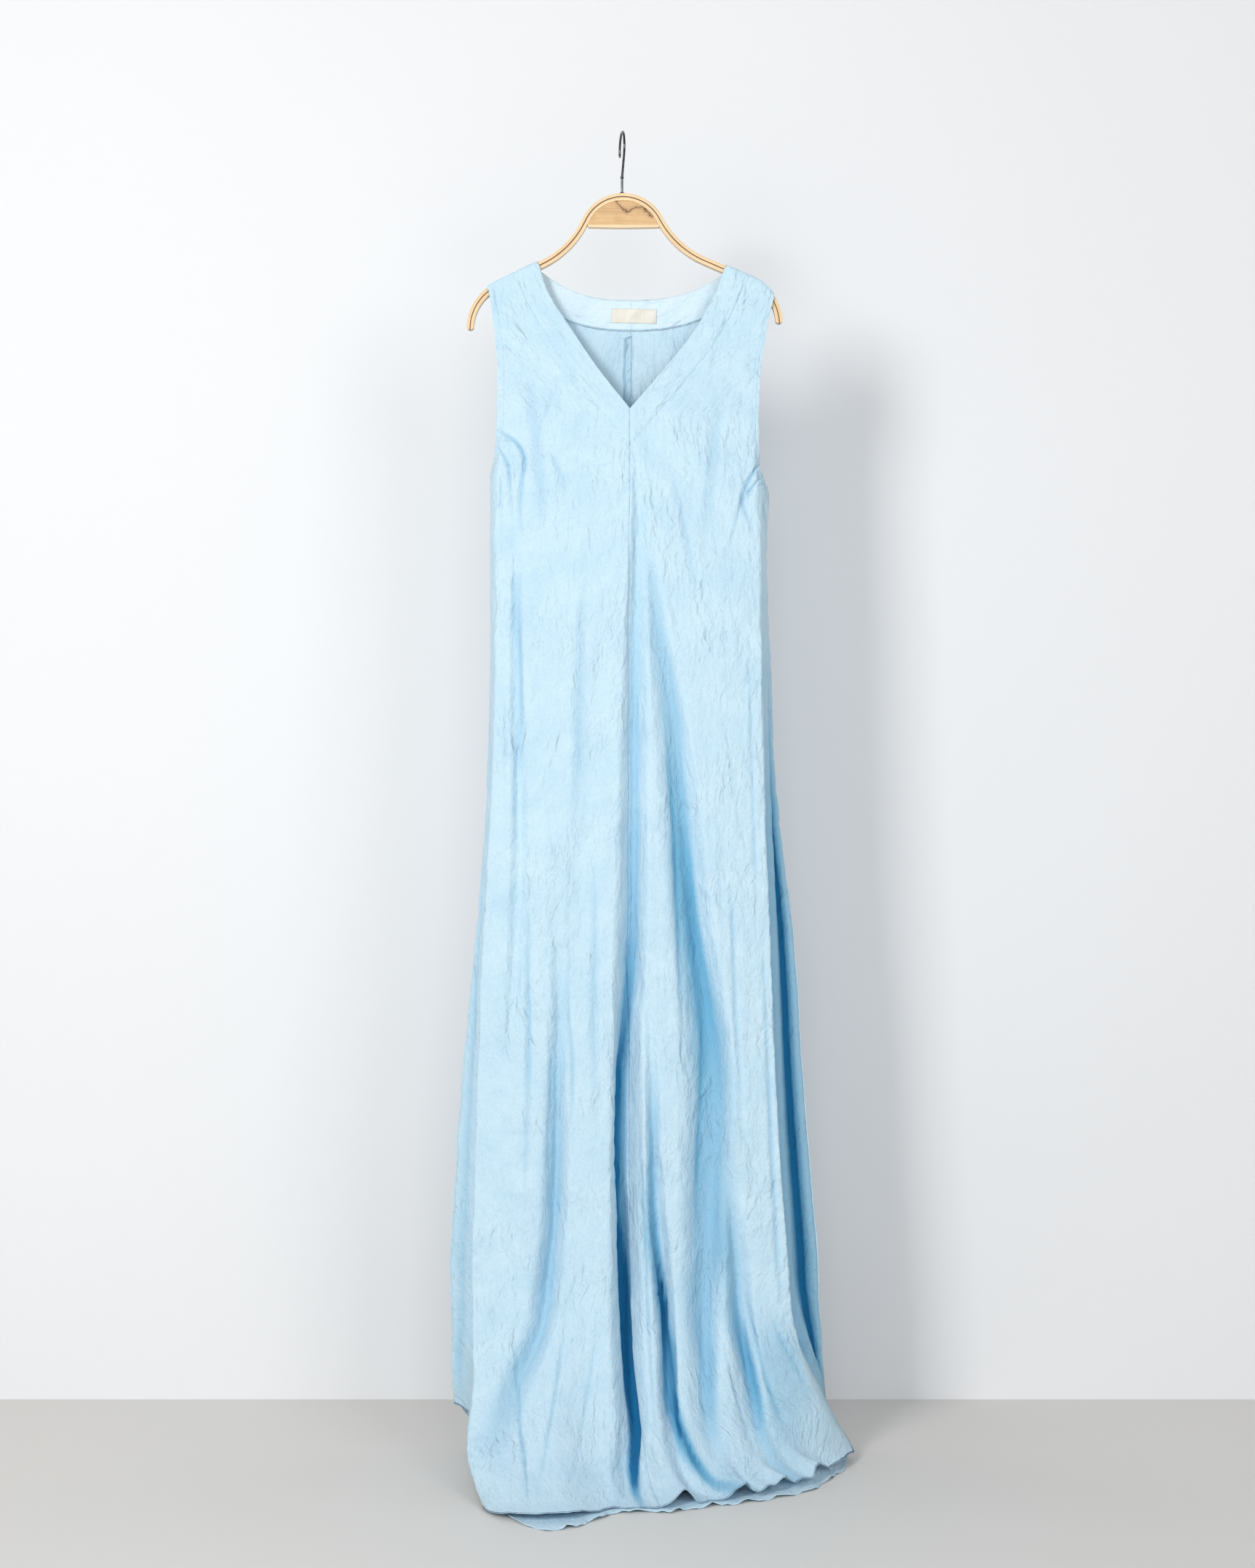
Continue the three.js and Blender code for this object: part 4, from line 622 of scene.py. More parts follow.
def side_knots(side, back, drop):
    """The points that the side of a panel goes through, each as an array with x and y."""
    edge_x, out_x = side.outline.read("edgeX", drop), side.outline.read("outX", drop)
    out_y = side.outline.read("outY", drop)
    front_tuck = np.array([side.outline.read("tuckX", drop), side.outline.read("tuckY", drop)])
    is_open = drop < side.underarm
    before_x = edge_x - side.sign * BEFORE_EDGE
    before = np.array([before_x, layer_y(back, across_at(side, back, before_x, drop), drop)])
    edge = np.array([edge_x, layer_y(back, 1, drop)])
    out = np.array([out_x, np.where(is_open & back, -out_y, out_y)])
    share = np.where(is_open, ARMHOLE_TUCK_BACK, TUCK_BACK)
    back_tuck = np.array([lerp(edge_x, out_x, TUCK_OUT), lerp(np.abs(out[1]), layer_y(True, 1, drop), share)])
    tuck = back_tuck if back else front_tuck
    past = np.where(is_open, 2 * out - tuck, front_tuck if back else back_tuck)
    return before, edge, tuck, out, past


def through_side(knots, u):
    """The side of a panel past its edge: a curve through the edge, the tuck and the outermost line."""
    w = 2 * (u - EDGE_U) / (1 - EDGE_U)
    second = w >= 1
    t = np.where(second, w - 1, w)
    a, b, c, d = (np.where(second, knots[i + 1], knots[i]) for i in range(4))
    return 0.5 * (2 * b + (c - a) * t + (2 * a - 5 * b + 4 * c - d) * t ** 2
                  + (3 * b - a - 3 * c + d) * t ** 3)


def section(side, back, u, drop, inner_x):
    """A level section, folds left out: x, y and across at each u."""
    x = lerp(inner_x, side.outline.read("edgeX", drop), np.minimum(u, EDGE_U) / EDGE_U)
    across = across_at(side, back, x, drop)
    y = layer_y(back, across, drop)
    past = u > EDGE_U
    side_x, side_y = through_side(side_knots(side, back, drop), np.maximum(u, EDGE_U))
    return np.where(past, side_x, x), np.where(past, side_y, y), np.where(past, side.sign, across)


def back_neckline(side, x, middle):
    share = np.maximum(0, (x - middle) / (side.neck_point - middle))
    end = strap_drop(side.neck_point) + ROLL_DROP
    return BACK_NECK_DROP - (BACK_NECK_DROP - end) * share ** BACK_NECK_POWER


def row_of(side, back, u, v):
    """The drop and the innermost x of a panel at station v."""
    neck_drop = strap_drop(side.neck_point) + ROLL_DROP
    tip_drop = strap_drop(side.tip_point) + ROLL_DROP
    if v <= NECKED:
        t = v - ROLLED
        rolled = strap_drop(lerp(side.neck_point, side.tip_point, u)) + ROLL_DROP
        arm_drop = lerp(tip_drop, side.back_arm_row if back else side.arm_row, t)
        if back:
            middle = middle_x(True, BACK_NECK_DROP)
            inner_x = lerp(side.neck_point, middle, math.sin(t * math.pi / 2))
            inner_drop = back_neckline(side, inner_x, middle)
        else:
            inner_drop = lerp(neck_drop, NECK_POINT_DROP, t)
            inner_x = side.neck.read("x", inner_drop)
        bowed = (1 - t) * (rolled - lerp(neck_drop, tip_drop, u))
        return lerp(inner_drop, arm_drop, u) + bowed, inner_x
    neck = BACK_NECK_DROP if back else NECK_POINT_DROP
    top = lerp(neck, side.back_arm_row if back else side.arm_row, u)
    chest = lerp(CHEST_DROP, side.underarm, u)
    drop = lerp(top, chest, v - NECKED) if v <= UNDERARM else lerp(chest, KNEE_DROP, v - UNDERARM)
    return drop, middle_x(back, drop)


def hem_at(side, back, u):
    """Where a panel's hem is at each u: x, y and height over the floor."""
    table, other = (side.back_hem, side.front_hem) if back else (side.front_hem, side.back_hem)
    along = np.array([table.read(name, np.minimum(u, EDGE_U)) for name in ("x", "y", "lift")])
    before = np.array([table.read(name, EDGE_U - BEFORE_HEM_EDGE) for name in ("x", "y", "lift")])
    spots = [before] + [np.array(r[1:4], float) for r in (*table.rows[-3:], other.rows[-2])]
    curve = through_side([spot[:, None] for spot in spots], np.maximum(u, EDGE_U))
    return np.where(u > EDGE_U, curve, along)


def sweep(side, back, u, t):
    """The bend from the knee to the hem: its points, its directions and across at each u."""
    x, y, across = section(side, back, u, np.full_like(u, KNEE_DROP), middle_x(back, KNEE_DROP))
    table = side.back_hem if back else side.front_hem
    hem_x, hem_y, lift = hem_at(side, back, u)
    lie, reach = table.read("lie", u), table.read("reach", u)
    start = np.stack([x, y, np.full_like(u, -KNEE_DROP)], -1)
    end = np.stack([hem_x, hem_y, FLOOR + lift], -1)
    level = (end - start) * (1, 1, 0)
    level /= np.linalg.norm(level, axis=-1, keepdims=True)
    last = level * lie[:, None]
    last[:, 2] = lie - 1
    last /= np.linalg.norm(last, axis=-1, keepdims=True)
    second = start.copy()
    second[:, 2] -= lerp(STIFF_HANGING, STIFF_LYING, lie)
    third = end - last * reach[:, None]
    s = 1 - t
    at = s ** 3 * start + 3 * s * s * t * second + 3 * s * t * t * third + t ** 3 * end
    along = 3 * s * s * (second - start) + 6 * s * t * (third - second) + 3 * t * t * (end - third)
    return at, along, across


def cloth_row(side, back, u, v):
    """One row of the cloth's middle surface: points, across and drop at each u."""
    inward = -1 if back else 1
    if v < ROLLED:
        x = lerp(side.neck_point, side.tip_point, u)
        turn = v * math.pi / 2
        z = -strap_drop(x) - ROLL_DROP * (1 - math.cos(turn) ** ROLL_SQUARE)
        y = np.full_like(x, -inward * STRAP_Y * math.sin(turn) ** ROLL_SQUARE)
        return np.stack([x, y, z], -1), np.full_like(u, side.sign * STRAP_ACROSS), -z
    if v <= KNEE:
        drop, inner_x = row_of(side, back, u, v)
        x, y, across = section(side, back, u, drop, inner_x)
        depth = np.where(np.abs(across) < 1, pressed(back, across, drop), 0)
        return np.stack([x, y + inward * depth, -drop], -1), across, drop
    t = v - KNEE
    at, along, across = sweep(side, back, u, t)
    drop = np.full_like(u, KNEE_DROP + SWEEP * t)
    depth = np.where(np.abs(across) < 1, pressed(back, across, drop), 0)
    normal = np.stack([np.zeros_like(u), -along[:, 2], -np.hypot(along[:, 0], along[:, 1])], -1)
    normal /= np.linalg.norm(normal, axis=-1, keepdims=True)
    at = at + normal * (inward * depth)[:, None]
    at[:, 2] = np.maximum(at[:, 2], FLOOR + (SOLID_CLOTH / 2 + BACK_CLEAR if back else FRONT_LIFT))
    return at, across, drop


# Creases and crinkles


def polyline_depth(line, sharp, x, drop):
    """How deep one crease is at each x and drop."""
    steps = np.linspace(0, len(line.rows) - 1, (len(line.rows) - 1) * CREASE_STEPS + 1)
    px, pd = line.read("x", steps), line.read("drop", steps)
    wide = max(line.columns["right"].max(), line.columns["left"].max())
    near = ((x > px.min() - wide) & (x < px.max() + wide) & (drop > pd.min() - wide) & (drop < pd.max() + wide))
    result = np.zeros(x.shape)
    if not near.any():
        return result
    qx, qd = x[near], drop[near]
    best = np.full(qx.shape, FAR)
    step_at = np.zeros(qx.shape)
    right_of = np.zeros(qx.shape, bool)
    for i in range(len(steps) - 1):
        dx, dd = px[i + 1] - px[i], pd[i + 1] - pd[i]
        t = np.clip(((qx - px[i]) * dx + (qd - pd[i]) * dd) / (dx * dx + dd * dd), 0, 1)
        ox, od = qx - px[i] - dx * t, qd - pd[i] - dd * t
        far = np.hypot(ox, od)
        closer = far < best
        best = np.where(closer, far, best)
        step_at = np.where(closer, lerp(steps[i], steps[i + 1], t), step_at)
        right_of = np.where(closer, dx * od - dd * ox > 0, right_of)
    width = np.where(right_of, line.read("right", step_at), line.read("left", step_at))
    width *= lerp(1, SHARP_WIDTH, sharp)
    share = np.clip(1 - best / width, 0, 1)
    shape = lerp(share * share * (3 - 2 * share), share * share, sharp)
    result[near] = line.read("depth", step_at) * shape * lerp(1, SHARP_DEPTH, sharp)
    return result


def crease_depth(back, x, drop):
    total = np.zeros(x.shape)
    for sharp, line in BACK_CREASES if back else FRONT_CREASES:
        total += polyline_depth(line, sharp, x, drop)
    return total


def ridge(kind, across, along):
    """One set of the crinkle's ridges at a place across and along them."""
    wide, long, cut, power, height = RIDGES[kind]
    return height * max(1 - 2 * abs(noise.noise(Vector((across / wide, cut, along / long)))), 0) ** power


def crinkle(points):
    """The small unevenness of washed linen at each point, in mm."""
    result = np.empty(points.size // 3)
    for i, (x, y, z) in enumerate(points.reshape(-1, 3).tolist()):
        a, b = RIDGE_COS * x + RIDGE_SIN * z, RIDGE_SIN * x - RIDGE_COS * z
        broad = noise.noise(Vector((x / 34, y / 60, z / 46)))
        patch = 0.5 + 0.5 * noise.noise(Vector((x / 70, 3.1 + y / 90, z / 90)))
        ridges = ridge("right", a, b) + ridge("straight", x, z) + ridge("left", b, a)
        result[i] = BROAD_HEIGHT * broad + patch * ridges
    return result.reshape(points.shape[:-1])


def unit(vectors):
    return vectors / np.maximum(np.linalg.norm(vectors, axis=-1, keepdims=True), 1e-9)


def spread(*stations):
    """Places from one value to another, all the stations among them."""
    values = [np.linspace(start, end, count, endpoint=False) for start, end, count in stations]
    return np.concatenate([*values, [stations[-1][1]]])


# Rows down a panel and columns across it: from, to and how many, closer where the form is finer
ROWS = spread((0, ROLLED, 10), (ROLLED, NECKED, 50), (NECKED, NECKED + 0.5, 16), (NECKED + 0.5, UNDERARM, 56),
              (UNDERARM, UNDER_BAND, 1), (UNDER_BAND, KNEE, 176), (KNEE, HEM, 84))
FRONT_COLUMNS = spread((0, 0.02, 4), (0.02, EDGE_U, 82), (EDGE_U, 1, 22))
BACK_COLUMNS = spread((0, ALLOWANCE_U, 5), (ALLOWANCE_U, EDGE_U, 46), (EDGE_U, 1, 18))


class Panel:
    """A panel of the dress: points of its middle surface and its inward normals, in rows down it."""

    def __init__(self, side, back):
        self.side, self.back = side, back
        self.name = f"{'back' if back else 'front'}_{side.name}_panel"
        self.u = BACK_COLUMNS if back else FRONT_COLUMNS
        rows = [cloth_row(side, back, self.u, v) for v in ROWS]
        self.points = np.array([r[0] for r in rows])
        self.across = np.array([r[1] for r in rows])
        self.drop = np.array([r[2] for r in rows])

    def find_normals(self, middle_partner, side_partner):
        """Inward normals, with each seam's taken across it."""
        p = self.points
        along = np.gradient(p, axis=1)
        down = np.gradient(p, axis=0)
        joined = ROWS >= NECKED
        along[joined, 0] = p[joined, 1] - middle_partner.points[joined, 1]
        sided = ROWS >= UNDERARM
        along[sided, -1] = side_partner.points[sided, -2] - p[sided, -2]
        self.normals = unit(np.cross(along, down)) * (self.side.sign * (-1 if self.back else 1))

    def add_fine(self):
        """Moves the points in or out by everything finer than the folds."""
        x = self.points[..., 0]
        self.creased = crease_depth(self.back, x, self.drop)
        depth = self.creased + crinkle(self.points)
        depth *= smoothstep(ROLLED, ROLLED + 0.08, ROWS)[:, None]
        # the strap only puckers outwards where it lies over the bow
        over_bow = (1 + np.sin(x / 2.1 + 1.7 * np.sin(x / 7.0))) * (0.6 + 0.4 * np.sin(x / 12.0))
        depth -= STRAP_PUCKER * over_bow * smoothstep(ROLLED + 0.03, ROLLED - 0.5, ROWS)[:, None]
        depth *= lerp(0.35, 1, smoothstep(HEM, HEM - 0.25, ROWS))[:, None]
        from_middle = lengths(self.points, 1)
        self.to_edge = from_middle[:, -1:] - from_middle
        depth += self.gathers()
        # seams sit a little lower than the cloth beside them
        joined = (ROWS >= NECKED)[:, None]
        sided = (ROWS >= UNDERARM)[:, None]
        depth += joined * SEAM_GROOVE * (1 - smoothstep(0, SEAM_WIDTH, from_middle))
        depth += sided * SEAM_GROOVE * (1 - smoothstep(0, SEAM_WIDTH, self.to_edge))
        stitched = smoothstep(ROLLED, ROLLED + 0.05, ROWS)[:, None]
        beside = np.abs(self.to_edge - ARM_STITCH_IN)
        depth += (1 - sided) * stitched * ARM_GROOVE * (1 - smoothstep(0, STITCH_WIDTH, beside))
        if not self.back:
            depth += stitched * self.neck_band()
            held = smoothstep(HEM, HEM - 0.3, ROWS)[:, None]
            depth += CORE_DEEPER * core_depth(self.across, self.drop) * held
            depth += VALLEY_DEPTH[self.side.name] * self.flap(VALLEY_U, VALLEY_WIDTH)
            depth -= LIP_HEIGHT[self.side.name] * self.flap(LIP_U, LIP_WIDTH)
        self.points = self.points + self.normals * depth[..., None]
        self.keep_over(CLOTH / 2 + BACK_CLEAR if self.back else FINE_FRONT_LIFT)

    def gathers(self):
        """The gathers under the arm, in from the armhole's edge."""
        begin, end = GATHERS_FROM[self.side.name], GATHERS_TO[self.side.name]
        held = smoothstep(begin, begin + 10, self.drop) * smoothstep(end, end - 8, self.drop)
        ribs = np.sin(2 * math.pi * (self.drop + 0.25 * self.to_edge) / GATHERS_PITCH)
        uneven = 0.7 + 0.3 * np.sin(self.drop * 0.9)
        inside = smoothstep(GATHERS_WIDTH, GATHERS_WIDTH * 0.4, self.to_edge)
        return GATHERS_HEIGHT * ribs * uneven * held * inside

    def neck_band(self):
        """The raised band beside the V, with the groove of its top stitching and its puckers."""
        x = self.points[..., 0]
        away = neckline_distance(self.side, x, self.drop)
        beside = np.abs(away - STITCH_IN)
        s = 0.85 * self.drop - 0.52 * np.abs(x - 10.0)
        pucker = np.sin(2 * math.pi * s / PUCKER_PITCH + 1.6 * np.sin(s / 11.0))
        pucker *= 0.55 + 0.45 * np.sin(s / 23.0)
        return (NECK_GROOVE * (1 - smoothstep(0, STITCH_WIDTH, beside))
                - BAND_RAISED * smoothstep(STITCH_IN, STITCH_IN - 3, away)
                + PUCKER_HEIGHT * pucker * (1 - smoothstep(0, PUCKER_WIDTH, beside)))

    def keep_over(self, height):
        """Lifts every point to at least this height over the floor."""
        self.points[..., 2] = np.maximum(self.points[..., 2], FLOOR + height)

    def flap(self, at, width):
        """0 to 1: near one line down the flap outside the front's pressed edge."""
        over_u = np.exp(-((self.u - at) / width) ** 2)[None, :]
        return over_u * smoothstep(640, 1000, self.drop) * (1 - smoothstep(HEM - 0.35, HEM, ROWS))[:, None]

    def flat_places(self):
        """Each point's place in the flat cloth, in metres."""
        s = lengths(self.points, 1) * self.side.sign
        t = lengths(self.points, 0)
        shift = BACK_PATTERN if self.back else 0.0
        return np.stack([s * MM + shift, -t * MM], -1)


def neckline_distance(side, x, drop):
    """How far a point of the front is from the V neckline, with the two sides' lines carried on."""
    steps = np.linspace(side.neck.keys[0] - CARRIED_ON, NECK_POINT_DROP, 40)
    line_x = side.neck.read("x", steps)
    line_x[-1] = middle_x(False, NECK_POINT_DROP)
    best = np.full(x.shape, FAR)
    for i in range(len(steps) - 1):
        dx, dd = line_x[i + 1] - line_x[i], steps[i + 1] - steps[i]
        if i == len(steps) - 2:
            dx, dd = dx * CARRIED_ON, dd * CARRIED_ON
        t = np.clip(((x - line_x[i]) * dx + (drop - steps[i]) * dd) / (dx * dx + dd * dd), 0, 1)
        best = np.minimum(best, np.hypot(x - line_x[i] - dx * t, drop - steps[i] - dd * t))
    return best


def on_layer(back, x, drop, offset):
    """Points on the inside of the front or the back at each x and drop, moved inwards by offset."""
    x, drop = np.asarray(x, float), np.asarray(drop, float)
    lowered = np.maximum(drop, strap_drop(x) + FACING_TOP)

    def height(px, pd):
        left = across_at(LEFT, back, px, pd)
        right = across_at(RIGHT, back, px, pd)
        across = np.where(px > middle_x(back, pd), left, right)
        return layer_y(back, across, pd) + (-1 if back else 1) * pressed(back, across, pd), across

    y, across = height(x, lowered)
    half = 0.5
    slope_x = height(x + half, lowered)[0] - height(x - half, lowered)[0]
    slope_z = height(x, lowered - half)[0] - height(x, lowered + half)[0]
    normal = unit(np.stack([-slope_x, np.ones_like(x), -slope_z], -1)) * (-1 if back else 1)
    points = np.stack([x, y, -lowered], -1)
    depth = crease_depth(back, x, lowered) + crinkle(points) + offset
    return points + normal * depth[..., None], normal


# Making meshes


def object_from(name, points, faces, uv=None, smooth=True):
    mesh = bpy.data.meshes.new(name)
    mesh.from_pydata((np.asarray(points) * MM).tolist(), [], faces)
    if uv is not None:
        layer = mesh.uv_layers.new(name="UVMap")
        corners = np.empty(len(mesh.loops), int)
        mesh.loops.foreach_get("vertex_index", corners)
        layer.data.foreach_set("uv", np.asarray(uv, float).reshape(-1, 2)[corners].ravel())
    piece = bpy.data.objects.new(name, mesh)
    bpy.context.scene.collection.objects.link(piece)
    mesh.polygons.foreach_set("use_smooth", [smooth] * len(mesh.polygons))
    return piece


def grid_faces(rows, columns, flip):
    i = np.arange(rows - 1)[:, None] * columns + np.arange(columns - 1)[None, :]
    corners = [i, i + 1, i + 1 + columns, i + columns]
    if flip:
        corners.reverse()
    return np.stack(corners, -1).reshape(-1, 4).tolist()


def apply_modifier(piece, kind, **values):
    with bpy.context.temp_override(object=piece, active_object=piece, selected_objects=[piece]):
        modifier = piece.modifiers.new(kind.title(), kind)
        for name, value in values.items():
            setattr(modifier, name, value)
        bpy.ops.object.modifier_apply(modifier=modifier.name)


def lengths(points, axis):
    """How far along its row or column each point of a grid is."""
    gap = np.linalg.norm(np.diff(points, axis=axis), axis=-1)
    return np.insert(np.cumsum(gap, axis=axis), 0, 0, axis=axis)


def sheet_from(name, points, inward, thickness, uv=None, hollow=None):
    """A thin closed sheet round a grid of points, given in rows, with its outer face away from inward."""
    rows, columns = points.shape[:2]
    across = points[0:-1, 1:] - points[0:-1, :-1]
    down = points[1:, :-1] - points[:-1, :-1]
    flip = np.sum(np.cross(across, down) * inward[:-1, :-1]) > 0
    if uv is None:
        uv = np.stack([lengths(points, 1), -lengths(points, 0)], -1) * MM
    piece = object_from(name, points.reshape(-1, 3), grid_faces(rows, columns, flip), uv)
    # the painted shade for the linen's colour, kept on each point
    if hollow is not None:
        layer = piece.data.attributes.new("hollow", "FLOAT", "POINT")
        layer.data.foreach_set("value", hollow.ravel())
    apply_modifier(piece, "SOLIDIFY", thickness=thickness * MM, offset=0.0)
    piece.data.polygons.foreach_set("use_smooth", [True] * len(piece.data.polygons))
    return piece


def finish_piece(piece, material, slot, *nodes):
    """Gives a piece its material and body, and the CAD nodes that it stands for. slot is not used."""
    piece.data.materials.clear()
    piece.data.materials.append(material)
    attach(piece, "root")
    if nodes:
        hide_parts(*nodes)
    return piece


def tube(path, radius, sides):
    """Points and faces of a round thread along a path."""
    path = np.asarray(path, float)
    along = unit(np.gradient(path, axis=0))
    aside = unit(np.cross(along, (0.0, 1.0, 0.0)) + NOT_ZERO)
    up = np.cross(aside, along)
    turn = np.linspace(0, 2 * math.pi, sides, endpoint=False)
    radius = np.broadcast_to(radius, len(path))[:, None, None]
    ring = np.cos(turn)[None, :, None] * aside[:, None] + np.sin(turn)[None, :, None] * up[:, None]
    points = (path[:, None] + ring * radius).reshape(-1, 3)
    faces = []
    for i in range(len(path) - 1):
        for j in range(sides):
            k = (j + 1) % sides
            faces.append((i * sides + j, (i + 1) * sides + j, (i + 1) * sides + k, i * sides + k))
    faces.append(tuple(range(sides)))
    faces.append(tuple(reversed([(len(path) - 1) * sides + j for j in range(sides)])))
    return points, faces


def joined(parts):
    """Several (points, faces) as one."""
    points, faces, count = [], [], 0
    for p, f in parts:
        points.append(p)
        faces += [tuple(i + count for i in face) for face in f]
        count += len(p)
    return np.concatenate(points), faces


def even_steps(path, step, *others):
    """A path, and what goes with it, at even steps along it."""
    far = lengths(path, 0)
    places = np.arange(0, far[-1], step)
    return [np.stack([np.interp(places, far, a[:, k]) for k in range(3)], -1) for a in (path, *others)]


def stitch_row(path, outward, length=2.6, gap=1.1, radius=0.22):
    """A line of stitches on a path, each a short thread that dips into the cloth at its ends."""
    centres, out = even_steps(path, length + gap, outward)
    along = unit(np.gradient(centres, axis=0))
    parts = []
    shape = Table("along up wide", (-0.5, -0.6, 0.6), (-0.38, 0.45, 1), (0, 0.75, 1), (0.38, 0.45, 1),
                  (0.5, -0.6, 0.6))
    for centre, way, up in zip(centres, along, unit(out)):
        line = [centre + way * length * s + up * radius * h for s, h, _ in shape.rows]
        parts.append(tube(line, radius * shape.columns["wide"], 5))
    return joined(parts)


def zigzag(path, outward, into, pitch, width, radius, lift):
    """An overlock: a thread that runs to and fro between the edge and a line inside it."""
    centres, out, inner = even_steps(path, pitch / 4, outward, into)
    phase = np.arange(len(centres)) * (math.pi / 2)
    to = (0.5 - 0.5 * np.cos(phase))[:, None] * width
    line = centres + unit(inner) * to + unit(out) * lift
    return tube(line, radius, 5)


# Nodes

COLOR, FLOAT, VECTOR = "NodeSocketColor", "NodeSocketFloat", "NodeSocketVector"


class Nodes:
    """Adds nodes to one material or group, and joins them."""

    def __init__(self, tree):
        self.tree = tree

    def put(self, socket, value):
        """Links a value that comes from another node, and sets a plain one."""
        if isinstance(value, bpy.types.NodeSocket):
            self.tree.links.new(value, socket)
        else:
            socket.default_value = value

    def add(self, kind, inputs=None, **settings):
        node = self.tree.nodes.new(kind)
        for name, value in settings.items():
            setattr(node, name, value)
        for name, value in (inputs or {}).items():
            self.put(node.inputs[name], value)
        return node

    def math(self, operation, *values):
        return self.add("ShaderNodeMath", dict(enumerate(values)), operation=operation).outputs[0]

    def plus(self, *values):
        return reduce(lambda one, other: self.math("ADD", one, other), values)

    def minus(self, one, other):
        return self.math("SUBTRACT", one, other)

    def times(self, *values):
        return reduce(lambda one, other: self.math("MULTIPLY", one, other), values)

    def sine(self, value):
        return self.math("SINE", value)

    def mix(self, factor, one, other):
        return self.add("ShaderNodeMix", {0: factor, 6: one, 7: other}, data_type="RGBA").outputs[2]

    def vector(self, operation, one, other):
        return self.add("ShaderNodeVectorMath", {0: one, 1: other}, operation=operation).outputs[0]

    def axes(self, place):
        return self.add("ShaderNodeSeparateXYZ", {0: place}).outputs

    def noise(self, place, scale=1.0, stretch=None, detail=2.0, rough=0.5, distortion=0.0, kind="Fac"):
        """Noise of so many waves to the metre, all ways alike or by its stretch along each axis."""
        if stretch:
            place = self.vector("MULTIPLY", place, stretch)
        values = {"Vector": place, "Scale": scale, "Detail": detail, "Roughness": rough,
                  "Distortion": distortion}
        return self.add("ShaderNodeTexNoise", values).outputs[kind]

    def ramp(self, value, low, high, to_low=0.0, to_high=1.0):
        values = {"Value": value, "From Min": low, "From Max": high, "To Min": to_low, "To Max": to_high}
        return self.add("ShaderNodeMapRange", values, interpolation_type="SMOOTHSTEP").outputs["Result"]


def new_group(name, inputs, outputs):
    """A shader node group, what it is given and what it gives out."""
    tree = bpy.data.node_groups.new(name, "ShaderNodeTree")
    for socket, (kind, default) in inputs.items():
        made = tree.interface.new_socket(name=socket, in_out="INPUT", socket_type=kind)
        if default is not None:
            made.default_value = default
    for socket, kind in outputs.items():
        tree.interface.new_socket(name=socket, in_out="OUTPUT", socket_type=kind)
    nodes = Nodes(tree)
    return tree, nodes, nodes.add("NodeGroupInput").outputs, nodes.add("NodeGroupOutput").inputs


